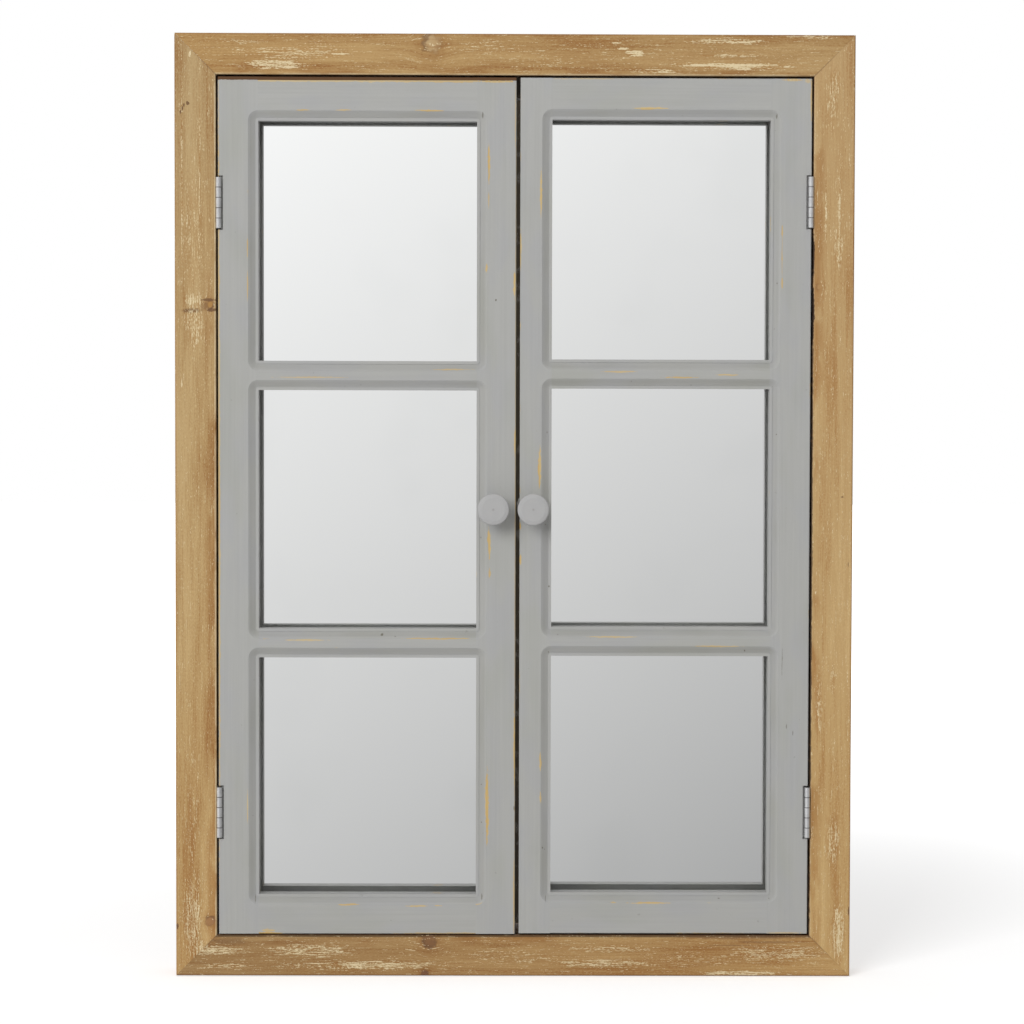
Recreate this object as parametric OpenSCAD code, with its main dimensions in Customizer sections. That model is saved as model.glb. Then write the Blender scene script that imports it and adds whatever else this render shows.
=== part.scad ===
// Shutter mirror: a mitred wall frame that holds one fixed mirror behind two hinged lattice doors.
// The wall is the plane y = 0, the front faces -y, z is up and x runs to the right as seen from the front.
// The origin lies on the wall plane, midway between the entry holes of the two keyhole hangers.

/* [Frame] */
// Overall width of the outer frame
frame_w = 503; // [460:1:620]
// Overall height of the outer frame
frame_h = 700; // [620:1:900]
// Depth of the outer frame from the wall to its front face
frame_d = 35; // [33:0.5:45]
// Face width of each frame member
member_w = 30.5; // [29:0.5:40]
// Flat planed off the long edges of the frame
frame_arris = 0.8; // [0.4:0.1:1.5]
// Open line left at each mitre
mitre_gap = 0.05; // [0.05:0.05:0.3]
// Width of the rebate that takes the mirror from behind
rebate_w = 8; // [6:0.5:9]
// Depth of that rebate
rebate_d = 8; // [7.5:0.5:10]

/* [Mirror] */
// Thickness of the mirror glass
mirror_t = 3; // [2:0.5:4]
// Thickness of the backing board
backing_t = 3; // [2:0.5:3.5]
// Gap between the sheets and the rebate, all round
sheet_gap = 0.5; // [0.3:0.1:1]
// Thickness of the metal points that hold the backing board
point_t = 0.5; // [0.4:0.1:0.7]
// Width of each point
point_w = 10; // [8:0.5:14]
// Length of each point that is driven into the frame
point_grip = 4; // [3:0.5:5]
// Length of each point that lies over the board
point_reach = 5; // [4:0.5:8]

/* [Doors] */
// Thickness of the doors, which lie flush with the front of the frame
door_t = 14; // [12:0.5:16]
// Gap between a door and the frame at the hinges
side_gap = 1.5; // [1.2:0.1:1.8]
// Gap between the two doors
meeting_gap = 3; // [2.5:0.1:4]
// Distance of the meeting gap from the middle of the frame, to the right
meeting_shift = 2.5; // [-4:0.5:4]
// Gap under the left door
left_bottom_gap = 1; // [0.8:0.1:2.5]
// Gap under the right door
right_bottom_gap = 1.5; // [0.8:0.1:2.5]
// Gap above the left door
left_top_gap = 1.6; // [1:0.1:4]
// Gap above the right door
right_top_gap = 1.7; // [1:0.1:4]
// Flat planed off the outer edges of the doors
door_arris = 0.5; // [0.2:0.1:1]
// Width of the left door's hinge stile
left_hinge_stile_w = 29.7; // [28:0.1:36]
// Width of the right door's hinge stile
right_hinge_stile_w = 30.2; // [28:0.1:36]
// Width of the left door's meeting stile
left_meeting_stile_w = 29.1; // [24:0.1:34]
// Width of the right door's meeting stile
right_meeting_stile_w = 23.6; // [23:0.1:30]
// Width of the left door's top rail
left_top_rail_w = 32.2; // [26:0.1:40]
// Width of the right door's top rail
right_top_rail_w = 30.5; // [26:0.1:40]
// Width of the left door's bottom rail
left_bottom_rail_w = 29.4; // [26:0.1:40]
// Width of the right door's bottom rail
right_bottom_rail_w = 30.5; // [26:0.1:40]
// Width of the glazing bars
bar_w = 21.7; // [19:0.1:30]
// Thickness of the tenons
tenon_t = 4.5; // [3:0.5:5]
// Length of the tenons
tenon_len = 15; // [10:0.5:17]
// Shoulder above and below a tenon
tenon_shoulder = 4; // [3:0.5:6]
// Deeper shoulder at the outer edge of a rail
rail_haunch = 10.5; // [10:0.5:13]
// Play round a tenon in its mortise
tenon_play = 0.1; // [0.05:0.05:0.2]
// Play at the end of a tenon
tenon_end_play = 0.6; // [0.3:0.1:1]

/* [Moulding] */
// Width of the moulding round each light, from the light to the flat of the wood
moulding_w = 7.5; // [5:0.25:9]
// Depth of the hollow where it meets the lip
hollow_d = 2.8; // [2:0.1:3.2]
// Radius of the shallow hollow
hollow_r = 20; // [10:1:40]
// Width of the lip between the hollow and the light
lip_w = 2.2; // [1:0.1:3]
// Height by which the lip stands above the deepest line of the hollow
lip_rise = 0.5; // [0.3:0.1:1]

/* [Hinges] */
// Length of the butt hinges
hinge_h = 38; // [32:1:50]
// Distance from the end of a door to the middle of its hinge
hinge_inset = 91; // [70:1:110]
// Distance by which the left door's upper hinge sits lower than that
left_hinge_drop = 1.8; // [0:0.1:4]
// Number of knuckles, of which the frame leaf has one more than the door leaf
knuckle_count = 5; // [3, 5, 7]
// Gap between neighbouring knuckles
knuckle_gap = 0.2; // [0.1:0.05:0.4]
// Radius of the barrel
barrel_r = 2; // [1.9:0.1:2.2]
// Radius of the pin
pin_r = 1; // [0.8:0.05:1]
// Radial clearance of the pin in the knuckles
pin_clearance = 0.05; // [0.02:0.01:0.1]
// Thickness of the hinge leaves
leaf_t = 0.8; // [0.6:0.05:0.8]
// Width of a leaf from the pin to its free edge
leaf_w = 12.5; // [10:0.5:13]
// Distance of the pin in front of the front faces
pin_proud = 0.8; // [0.8:0.1:1.2]
// Room that the door is notched back beside the barrel
barrel_room = 1.3; // [0.6:0.1:2]
// Gauge of the hinge screws
hinge_screw_d = 2.4; // [2:0.1:2.8]
// Length of the hinge screws
hinge_screw_len = 10; // [8:0.5:14]

/* [Knobs] */
// Diameter of the turned knobs
knob_d = 23.5; // [20:0.5:26]
// Height of the knobs above the doors
knob_h = 21; // [18:0.5:26]
// Radius of the flat in the middle of a knob's head
knob_face_r = 8.6; // [5:0.1:9]
// Angle at which the head falls away round that flat
knob_bevel = 15; // [10:1:40]
// Radius of the rounded rim of a knob
knob_rim_r = 1.6; // [0.8:0.1:2.5]
// Radius of the foot of a knob
knob_foot_r = 5.8; // [5:0.1:8]
// Radius of the hollow between the foot and the rim
knob_hollow_r = 13; // [12:0.5:20]
// Distance of the knobs below the middle of the opening
knob_drop = 0.6; // [-20:0.1:20]
// Distance of the left knob from the meeting edge of its door
left_knob_inset = 16.3; // [13:0.1:18]
// Distance of the right knob from the meeting edge of its door
right_knob_inset = 10.2; // [9.5:0.1:14]
// Gauge of the knob screws
knob_screw_d = 4; // [3:0.5:5]

/* [Catch] */
// Length of the catch between its two ends
catch_w = 50; // [46:1:60]
// Gap between the catch and the mirror
catch_clearance = 1.2; // [0.8:0.1:2]
// Height of the catch below the top member
catch_h = 15; // [14:0.5:18]
// Thickness of the ears that carry the catch screws
catch_ear_t = 3; // [2:0.5:4]
// Width of each magnet and its pole plates
magnet_w = 12; // [9:0.5:13]
// Thickness of each magnet
magnet_t = 4; // [3:0.5:5]
// Distance from the top member down to the middle of the magnets
magnet_drop = 9; // [8.5:0.1:10]
// Thickness of the pole plates and of the strike plates
strike_t = 1.2; // [1:0.1:1.5]
// Height of the strike plates
strike_h = 9.4; // [8:0.2:10]
// Gap between a closed door's strike plate and the poles
strike_gap = 0.1; // [0.05:0.05:0.3]

/* [Hangers] */
// Distance from the top of the frame down to the entry holes of the hangers
hanger_drop = 110; // [90:1:200]
// Width of the hanger plates
hanger_w = 16; // [14:0.5:17]
// Length of the hanger plates
hanger_len = 50; // [46:1:64]
// Thickness of the hanger plates
hanger_t = 1.2; // [1:0.1:2]
// Radius of the entry hole for the head of a wall screw
keyhole_r = 4.5; // [4:0.1:5]
// Half width of the slot for the neck of a wall screw
keyslot_r = 2.25; // [2:0.05:2.6]
// Height of the slot above the middle of the entry hole
keyslot_rise = 9; // [7:0.5:11]
// Depth of the pocket for the head of a wall screw
pocket_d = 10; // [8:0.5:14]

/* [Hidden] */
$fn = 64;
over = 1;
fit_gap = 0.05;

opening_w = frame_w - 2 * member_w;
opening_h = frame_h - 2 * member_w;
centre_z = hanger_drop - frame_h / 2;
sheet_w = opening_w + 2 * (rebate_w - sheet_gap);
sheet_h = opening_h + 2 * (rebate_w - sheet_gap);
mirror_front_y = -rebate_d;
board_back_y = mirror_front_y + mirror_t + backing_t;

light_count = 3;
tenon_depth = (door_t - tenon_t) / 2;

knuckle_pitch = hinge_h / knuckle_count;
barrel_bite = 0.05;
leaf_face = barrel_r - barrel_bite;
leaf_clip = 1;
leaf_screw_y = leaf_w * 0.6;
leaf_screw_z = hinge_h * 0.3;
leaf_room = 0.3;
notch_room = 1;
hinge_screw_head_d = 4.4;

knob_bore_len = 13;
knob_screw_head_d = 7.6;
knob_screw_head_h = 2.4;
knob_foot_h = 1.5;
knob_flare = 40;
knob_dent_r = 0.6;
knob_dent_d = 0.3;

small_screw_d = 3;
small_screw_head_d = 5.4;
small_screw_len = 12;

catch_ear_w = 7;
pole_out = 0.5;
catch_d = frame_d - door_t - rebate_d - strike_t - strike_gap - pole_out - catch_clearance;
pole_len = catch_d - 1.5;
magnet_set_back = 1;
magnet_x = meeting_gap / 2 + 3 + magnet_w / 2;
pack_h = magnet_t + 2 * strike_t;
strike_w = magnet_w + 2;

v_leg = 8;
v_t = 0.6;
v_depth = 10;
v_sink = 0.5;
v_places = [4.5, 13.2];

wood = [0.74, 0.56, 0.36];
paint = [0.66, 0.66, 0.64];
steel = [0.62, 0.62, 0.60];
dark_steel = [0.36, 0.36, 0.37];
silver = [0.86, 0.88, 0.88];
board = [0.42, 0.29, 0.19];
ferrite = [0.16, 0.16, 0.17];

// ---- Sizes that differ between the two doors ----

function is_left(side) = side == "left";
function bottom_gap(side) = is_left(side) ? left_bottom_gap : right_bottom_gap;
function top_gap(side) = is_left(side) ? left_top_gap : right_top_gap;
function hinge_stile_w(side) = is_left(side) ? left_hinge_stile_w : right_hinge_stile_w;
function meeting_stile_w(side) = is_left(side) ? left_meeting_stile_w : right_meeting_stile_w;
function top_rail_w(side) = is_left(side) ? left_top_rail_w : right_top_rail_w;
function bottom_rail_w(side) = is_left(side) ? left_bottom_rail_w : right_bottom_rail_w;
function knob_inset(side) = is_left(side) ? left_knob_inset : right_knob_inset;
function meeting_side_shift(side) = is_left(side) ? meeting_shift : -meeting_shift;
function door_w(side) = opening_w / 2 + meeting_side_shift(side) - side_gap - meeting_gap / 2;
function door_h(side) = opening_h - bottom_gap(side) - top_gap(side);
function light_w(side) = door_w(side) - hinge_stile_w(side) - meeting_stile_w(side);
function light_h(side) =
  (door_h(side) - top_rail_w(side) - bottom_rail_w(side) - (light_count - 1) * bar_w) / light_count;
function light_z(side, i) = bottom_rail_w(side) + i * (light_h(side) + bar_w);

// The crosspieces of a door are counted from the bottom rail, 0, to the top rail, light_count.
function cross_z(side, k) =
  k == 0 ? 0 : k == light_count ? door_h(side) - top_rail_w(side) : light_z(side, k) - bar_w;
function cross_w(side, k) =
  k == 0 ? bottom_rail_w(side) : k == light_count ? top_rail_w(side) : bar_w;
function tenon_low(k) = k == 0 ? rail_haunch : tenon_shoulder;
function tenon_high(k) = k == light_count ? rail_haunch : tenon_shoulder;

function upper_hinge_inset(side) = hinge_inset + (is_left(side) ? left_hinge_drop : 0);
function hinge_z(side, level) = level == "upper" ? door_h(side) - upper_hinge_inset(side) : hinge_inset;
function leaf_owns(on_frame, k) = (k % 2 == 0) == on_frame;

// Middle of a hollow of radius r that runs from a to b and lies on the right of that line.
function hollow_middle(a, b, r) =
  (a + b) / 2 + sqrt(r * r - norm(b - a) * norm(b - a) / 4) * [(b - a)[1], (a - b)[0]] / norm(b - a);

// ---- Places ----

// Frame pieces are drawn from the middle of the opening, on the wall plane.
module from_centre() {
  translate([0, 0, centre_z]) children();
}

// Pieces of one side are drawn for the left and mirrored for the right.
module on_side(side) {
  mirror([is_left(side) ? 0 : 1, 0, 0]) children();
}

// Door pieces are drawn from the lower front corner of the door's hinge edge: x runs to the meeting
// edge, y runs back from the front face and z runs up.
module at_door(side) {
  from_centre() on_side(side)
    translate([-opening_w / 2 + side_gap, -frame_d, -opening_h / 2 + bottom_gap(side)]) children();
}

// Hinge pieces are drawn from the middle of the pin: x points to the door, y points to the wall.
module at_hinge(side, level) {
  at_door(side) translate([leaf_face - side_gap, -pin_proud, hinge_z(side, level)]) children();
}

// ---- Screws ----

// A countersunk wood screw that points to +z, with its head flush with z = 0.
module wood_screw(d, head_d, len) {
  rim = 0.2;
  slot_w = d * 0.25;
  difference() {
    rotate_extrude()
      polygon([[0, 0], [head_d / 2, 0], [head_d / 2, rim], [d / 2, rim + (head_d - d) / 2],
               [d / 2, len - d], [0, len]]);
    translate([-slot_w / 2, -head_d, -over]) cube([slot_w, 2 * head_d, over + d * 0.25]);
  }
}

// The hole that such a screw fills, open to -z.
module wood_screw_hole(d, head_d, len) {
  rim = 0.2;
  rotate_extrude()
    polygon([[0, -over], [head_d / 2 + fit_gap, -over], [head_d / 2 + fit_gap, rim],
             [d / 2 + fit_gap, rim + (head_d - d) / 2], [d / 2 + fit_gap, len + fit_gap],
             [0, len + fit_gap]]);
}

// A pan-headed screw that points to +z, with the underside of its head at z = 0.
module pan_screw(d, head_d, head_h, len) {
  crown = head_h * 0.45;
  slot_w = d * 0.25;
  difference() {
    rotate_extrude()
      polygon([[0, -head_h], [head_d / 2 - crown, -head_h], [head_d / 2, crown - head_h],
               [head_d / 2, 0], [d / 2, 0], [d / 2, len - d / 4], [d / 4, len], [0, len]]);
    for (turn = [0, 90])
      rotate(turn) translate([-slot_w / 2, -head_d * 0.3, -head_h - over])
        cube([slot_w, head_d * 0.6, over + head_h * 0.5]);
  }
}

// ---- Outer frame ----

// Section of a frame member: x is the depth, from the wall at 0 to the front, and y is the width, from
// the outer edge at 0 to the opening.
module member_section() {
  back = 0;
  front = -frame_d;
  inner = -member_w;
  polygon([[back - frame_arris, 0], [front + frame_arris, 0], [front, -frame_arris],
           [front, inner + frame_arris], [front + frame_arris, inner], [-rebate_d, inner],
           [-rebate_d, inner + rebate_w], [back, inner + rebate_w], [back, -frame_arris]]);
}

// A member that lies along x with mitred ends and its outer edge up, at z = 0.
module mitred_member(len) {
  trim = mitre_gap / sqrt(2);
  intersection() {
    translate([-len / 2, 0, 0]) rotate([90, 0, 90]) linear_extrude(len) member_section();
    rotate([90, 0, 0]) translate([0, 0, -over]) linear_extrude(frame_d + 2 * over)
      polygon([[trim - len / 2 - over, over], [len / 2 - trim + over, over],
               [len / 2 - trim - member_w - over, -member_w - over],
               [trim - len / 2 + member_w + over, -member_w - over]]);
  }
}

// One L-shaped nail outline, with its two legs along the two members that it joins.
module corner_nail_outline(grow) {
  polygon([[-grow, -grow], [v_leg + grow, -grow], [v_leg + grow, v_t + grow],
           [v_t + grow, v_t + grow], [v_t + grow, v_leg + grow], [-grow, v_leg + grow]]);
}

// The nails driven into the mitres from behind, or with grow the slots that they fill.
module corner_nail_set(grow = 0) {
  start = grow > 0 ? over : -v_sink;
  depth = v_depth + v_sink + start + grow;
  for (flip_x = [0, 1], flip_z = [0, 1], place = v_places)
    mirror([flip_x, 0, 0]) mirror([0, 0, flip_z])
      translate([place - frame_w / 2, start, place - frame_h / 2])
        rotate([90, 0, 0]) linear_extrude(depth) corner_nail_outline(grow);
}

// One flat point that stands out of the wall of the rebate towards +x, or with grow its slot.
module glazing_point(grow) {
  translate([-point_grip - grow, board_back_y + 2 * fit_gap - grow, -point_w / 2 - grow])
    cube([point_grip + point_reach + 2 * grow, point_t + 2 * grow, point_w + 2 * grow]);
}

// The points that hold the board, three up each side and two across each end.
module glazing_point_set(grow = 0) {
  for (flip = [0, 1]) {
    for (z = opening_h * [-0.3, 0, 0.3])
      mirror([flip, 0, 0]) translate([-opening_w / 2 - rebate_w, 0, z]) glazing_point(grow);
    for (x = opening_w * [-0.25, 0.25])
      mirror([0, 0, flip])
        translate([x, 0, -opening_h / 2 - rebate_w]) rotate([0, -90, 0]) glazing_point(grow);
  }
}

module frame_stile(side) {
  color(wood) difference() {
    from_centre() on_side(side)
      translate([-frame_w / 2, 0, 0]) rotate([0, -90, 0]) mitred_member(frame_h);
    from_centre() {
      corner_nail_set(fit_gap);
      glazing_point_set(fit_gap);
    }
    hanger_cut(side);
    for (level = ["upper", "lower"])
      frame_leaf_fixings(side, level)
        wood_screw_hole(hinge_screw_d, hinge_screw_head_d, hinge_screw_len);
  }
}

// The top member, or with flip the bottom one, which carries no catch.
module frame_rail(flip) {
  color(wood) difference() {
    from_centre() mirror([0, 0, flip]) translate([0, 0, frame_h / 2]) mitred_member(frame_w);
    from_centre() {
      corner_nail_set(fit_gap);
      glazing_point_set(fit_gap);
    }
    if (flip == 0)
      catch_fixings()
        cylinder(r = small_screw_d / 2 + fit_gap, h = 2 * small_screw_len + over, center = true);
  }
}

module frame_corner_nails() {
  color(steel) from_centre() corner_nail_set();
}

// ---- Mirror and its backing ----

module sheet(back_y, thickness) {
  from_centre() translate([-sheet_w / 2, back_y - thickness, -sheet_h / 2])
    cube([sheet_w, thickness, sheet_h]);
}

module mirror_glass() {
  color(silver) sheet(mirror_front_y + mirror_t, mirror_t);
}

module backing_board() {
  color(board) sheet(board_back_y, backing_t);
}

module glazing_points() {
  color(steel) from_centre() glazing_point_set();
}

// ---- Keyhole hangers ----

// The hanger's own frame: the middle of the entry hole on the wall plane.
module at_hanger(side) {
  on_side(side) translate([-frame_w / 2 + (member_w - rebate_w) / 2, 0, 0]) children();
}

// Middles of the two screws of a hanger plate.
module hanger_fixings(side) {
  at_hanger(side) for (z = [-1, 1])
    translate([0, 0, z * (hanger_len / 2 - 5)]) rotate([90, 0, 0]) children();
}

module hanger_plate(side) {
  clip = 2;
  half_w = hanger_w / 2;
  half_l = hanger_len / 2;
  color(steel) difference() {
    at_hanger(side) rotate([90, 0, 0]) linear_extrude(hanger_t) difference() {
      polygon([[clip - half_w, -half_l], [half_w - clip, -half_l], [half_w, clip - half_l],
               [half_w, half_l - clip], [half_w - clip, half_l], [clip - half_w, half_l],
               [-half_w, half_l - clip], [-half_w, clip - half_l]]);
      circle(keyhole_r);
      translate([-keyslot_r, 0]) square([2 * keyslot_r, keyslot_rise]);
      translate([0, keyslot_rise]) circle(keyslot_r + fit_gap);
    }
    hanger_fixings(side) wood_screw_hole(small_screw_d, small_screw_head_d, small_screw_len);
  }
}

// Housing for a plate, the pocket behind its keyhole and the holes for its screws.
module hanger_cut(side) {
  half_w = hanger_w / 2 + fit_gap;
  half_l = hanger_len / 2 + fit_gap;
  pocket_half = keyhole_r + 1;
  at_hanger(side) {
    translate([-half_w, -hanger_t, -half_l]) cube([2 * half_w, hanger_t + over, 2 * half_l]);
    translate([-pocket_half, -hanger_t - pocket_d, -pocket_half])
      cube([2 * pocket_half, pocket_d + over, keyslot_rise + 2 * pocket_half]);
  }
  hanger_fixings(side) wood_screw_hole(small_screw_d, small_screw_head_d, small_screw_len);
}

module hanger_screws() {
  color(steel) for (side = ["left", "right"])
    hanger_fixings(side) wood_screw(small_screw_d, small_screw_head_d, small_screw_len);
}

// ---- Butt hinges ----

// Middles of the screws of a leaf that faces +x; they point to +x.
module leaf_fixings() {
  for (z = [-leaf_screw_z, leaf_screw_z])
    translate([leaf_face - leaf_t, leaf_screw_y, z]) rotate([0, 90, 0]) children();
}

module frame_leaf_fixings(side, level) {
  at_hinge(side, level) mirror([1, 0, 0]) leaf_fixings() children();
}

module door_leaf_fixings(side, level) {
  at_hinge(side, level) leaf_fixings() children();
}

// One leaf with its knuckles: the door leaf lies at +x, and the frame leaf is its mirror image.
module hinge_leaf(on_frame) {
  notch_back = barrel_r + leaf_room;
  mirror([on_frame ? 1 : 0, 0, 0]) difference() {
    union() {
      translate([leaf_face - leaf_t, 0, 0]) rotate([90, 0, 90]) linear_extrude(leaf_t)
        polygon([[0, -hinge_h / 2], [leaf_w - leaf_clip, -hinge_h / 2],
                 [leaf_w, leaf_clip - hinge_h / 2], [leaf_w, hinge_h / 2 - leaf_clip],
                 [leaf_w - leaf_clip, hinge_h / 2], [0, hinge_h / 2]]);
      for (k = [0 : knuckle_count - 1])
        if (leaf_owns(on_frame, k))
          translate([0, 0, k * knuckle_pitch - hinge_h / 2 + knuckle_gap / 2])
            cylinder(r = barrel_r, h = knuckle_pitch - knuckle_gap);
    }
    cylinder(r = pin_r + pin_clearance, h = hinge_h + 2 * over, center = true);
    for (k = [0 : knuckle_count - 1])
      if (!leaf_owns(on_frame, k))
        translate([leaf_face - leaf_t - over, -notch_back, k * knuckle_pitch - hinge_h / 2])
          cube([leaf_t + 2 * over, 2 * notch_back, knuckle_pitch]);
    leaf_fixings() wood_screw_hole(hinge_screw_d, hinge_screw_head_d, hinge_screw_len);
  }
}

module frame_leaf(side, level) {
  color(steel) at_hinge(side, level) hinge_leaf(true);
}

module door_leaf(side, level) {
  color(steel) at_hinge(side, level) hinge_leaf(false);
}

// A plain pin with softened ends, flush with the barrel.
module hinge_pin(side, level) {
  soft = 0.25;
  half = hinge_h / 2;
  color(dark_steel) at_hinge(side, level) rotate_extrude()
    polygon([[0, -half], [pin_r - soft, -half], [pin_r, soft - half], [pin_r, half - soft],
             [pin_r - soft, half], [0, half]]);
}

module frame_leaf_screws() {
  color(steel) for (side = ["left", "right"], level = ["upper", "lower"])
    frame_leaf_fixings(side, level) wood_screw(hinge_screw_d, hinge_screw_head_d, hinge_screw_len);
}

module door_leaf_screws(side) {
  color(steel) for (level = ["upper", "lower"])
    door_leaf_fixings(side, level) wood_screw(hinge_screw_d, hinge_screw_head_d, hinge_screw_len);
}

// ---- Routed hollow round the lights ----

// Section of the cut: x runs from the edge of the light into the wood, y runs back from the front face.
module hollow_section(start) {
  translate([start, -over]) square([lip_w - start, hollow_d - lip_rise + over]);
  intersection() {
    translate(hollow_middle([lip_w, hollow_d], [moulding_w, 0], hollow_r)) circle(hollow_r, $fn = 120);
    translate([lip_w, -over]) square([moulding_w - lip_w + over, hollow_d + 2 * over]);
  }
}

// Straight run of the cut along z, into wood on the +x side.
module side_hollow(len) {
  linear_extrude(len) hollow_section(-over);
}

// Quarter turn of the cut about the corner of a light, into wood in the +x, -z quadrant.
module corner_hollow() {
  rotate([-90, 0, 0]) rotate_extrude(angle = 90) hollow_section(0);
}

// Cuts up one stile, beside every light and round its corners.
module stile_hollows(side) {
  for (i = [0 : light_count - 1])
    translate([0, 0, light_z(side, i)]) {
      side_hollow(light_h(side));
      corner_hollow();
      translate([0, 0, light_h(side)]) mirror([0, 0, 1]) corner_hollow();
    }
}

// ---- Doors ----

// A stile of the given width, from the outer edge of the door at x = 0 to the lights.
module stile_blank(side, width) {
  linear_extrude(door_h(side))
    polygon([[0, door_arris], [door_arris, 0], [width, 0], [width, door_t],
             [door_arris, door_t], [0, door_t - door_arris]]);
}

// Mortises for all crosspieces, cut into the stile from x = 0 towards +x.
module mortises(side) {
  for (k = [0 : light_count])
    translate([-over, tenon_depth - tenon_play, cross_z(side, k) + tenon_low(k) - tenon_play])
      cube([tenon_len + tenon_end_play + over, tenon_t + 2 * tenon_play,
            cross_w(side, k) - tenon_low(k) - tenon_high(k) + 2 * tenon_play]);
}

// Notch beside the barrel and gain for the door leaf.
module hinge_gain(side, level) {
  half = hinge_h / 2;
  barrel_edge = leaf_face - side_gap + barrel_r + barrel_room;
  notch_d = barrel_r - pin_proud + barrel_room;
  leaf_back = leaf_w - pin_proud + leaf_room;
  translate([0, 0, hinge_z(side, level)]) {
    translate([-over, -over, -half - notch_room])
      cube([barrel_edge + over, notch_d + over, hinge_h + 2 * notch_room]);
    translate([-over, -over, -half - leaf_room])
      cube([2 * leaf_face - side_gap + over, leaf_back + over, hinge_h + 2 * leaf_room]);
  }
}

module hinge_stile(side) {
  color(paint) difference() {
    at_door(side) difference() {
      stile_blank(side, hinge_stile_w(side));
      translate([hinge_stile_w(side), 0, 0]) mirror([1, 0, 0]) {
        stile_hollows(side);
        mortises(side);
      }
      for (level = ["upper", "lower"])
        hinge_gain(side, level);
    }
    for (level = ["upper", "lower"])
      door_leaf_fixings(side, level)
        wood_screw_hole(hinge_screw_d, hinge_screw_head_d, hinge_screw_len);
  }
}

module meeting_stile(side) {
  width = meeting_stile_w(side);
  color(paint) difference() {
    at_door(side) translate([door_w(side), 0, 0]) difference() {
      mirror([1, 0, 0]) stile_blank(side, width);
      translate([-width, 0, 0]) {
        stile_hollows(side);
        mortises(side);
      }
    }
    at_knob(side) cylinder(r = knob_screw_d / 2 + 4 * fit_gap, h = 3 * door_t, center = true);
    at_strike(side) wood_screw_hole(small_screw_d, small_screw_head_d, small_screw_len);
  }
}

// Section of a crosspiece: x runs back from the front face, y runs up from its lower edge.
module cross_section(side, k) {
  low = k == 0 ? door_arris : 0;
  high = k == light_count ? door_arris : 0;
  width = cross_w(side, k);
  polygon([[low, 0], [door_t - low, 0], [door_t, low], [door_t, width - high],
           [door_t - high, width], [high, width], [0, width - high], [0, low]]);
}

// A rail or glazing bar with its two tenons and the hollows of the lights beside it.
module crosspiece(side, k) {
  run = light_w(side);
  color(paint) at_door(side) translate([hinge_stile_w(side), 0, cross_z(side, k)]) {
    difference() {
      rotate([90, 0, 90]) linear_extrude(run) cross_section(side, k);
      if (k > 0)
        translate([run + over, 0, 0]) rotate([0, -90, 0]) side_hollow(run + 2 * over);
      if (k < light_count)
        translate([-over, 0, cross_w(side, k)]) rotate([0, 90, 0]) side_hollow(run + 2 * over);
    }
    for (x = [-tenon_len, run - over])
      translate([x, tenon_depth, tenon_low(k)])
        cube([tenon_len + over, tenon_t, cross_w(side, k) - tenon_low(k) - tenon_high(k)]);
  }
}

// ---- Knobs ----

// The knob's own frame: its foot on the front face of the door, with z out of the door.
module at_knob(side) {
  at_door(side)
    translate([door_w(side) - knob_inset(side), 0, opening_h / 2 - bottom_gap(side) - knob_drop])
      rotate([90, 0, 0]) children();
}

// Half section of a knob: a small foot, a long hollow up to the rounded rim, a bevel and a flat face
// with the small dent of the lathe's centre.
module knob_section() {
  rim_x = knob_d / 2 - knob_rim_r;
  bevel_x = rim_x + knob_rim_r * sin(knob_bevel);
  bevel_z = knob_h - (bevel_x - knob_face_r) * tan(knob_bevel);
  rim_z = bevel_z - knob_rim_r * cos(knob_bevel);
  foot_end = [knob_foot_r, knob_foot_h];
  rim_end = [rim_x + knob_rim_r * cos(knob_flare), rim_z - knob_rim_r * sin(knob_flare)];
  difference() {
    union() {
      polygon([[0, 0], [knob_foot_r, 0], foot_end, rim_end, [bevel_x, bevel_z],
               [knob_face_r, knob_h], [0, knob_h]]);
      translate([rim_x, rim_z]) circle(knob_rim_r, $fn = 48);
    }
    translate(hollow_middle(foot_end, rim_end, knob_hollow_r)) circle(knob_hollow_r, $fn = 96);
    translate([-over, knob_h - knob_dent_d]) square([over + knob_dent_r, over]);
    translate([-over, -over]) square([knob_screw_d / 2 + fit_gap + over, knob_bore_len + over]);
  }
}

module knob(side) {
  color(paint) at_knob(side) rotate_extrude() intersection() {
    knob_section();
    square([knob_d, 2 * knob_h]);
  }
}

// The knob's screw enters from the back of the door.
module knob_screw(side) {
  color(steel) at_knob(side) translate([0, 0, -door_t])
    pan_screw(knob_screw_d, knob_screw_head_d, knob_screw_head_h, door_t + knob_bore_len - 1);
}

// ---- Catch ----

// The catch's own frame: on the underside of the top member, behind the meeting gap, with the poles'
// face at y = 0.
module at_catch() {
  from_centre()
    translate([meeting_shift, -frame_d + door_t + strike_t + strike_gap, opening_h / 2]) children();
}

module catch_fixings() {
  at_catch() for (x = [-1, 1])
    translate([x * (catch_w / 2 - 3.5), pole_out + catch_d / 2, -catch_ear_t]) children();
}

module catch_housing() {
  block_w = catch_w - 2 * catch_ear_w;
  color(dark_steel) difference() {
    at_catch() translate([0, pole_out, 0]) difference() {
      union() {
        translate([-catch_w / 2, 0, -catch_ear_t]) cube([catch_w, catch_d, catch_ear_t]);
        translate([-block_w / 2, 0, -catch_h]) cube([block_w, catch_d, catch_h]);
      }
      for (x = [-magnet_x, magnet_x])
        translate([x - magnet_w / 2 - 2 * fit_gap, -over, -magnet_drop - pack_h / 2 - fit_gap])
          cube([magnet_w + 4 * fit_gap, pole_len - pole_out + fit_gap + over, pack_h + 2 * fit_gap]);
    }
    catch_fixings()
      cylinder(r = small_screw_d / 2 + 2 * fit_gap, h = 3 * catch_ear_t, center = true);
  }
}

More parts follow.
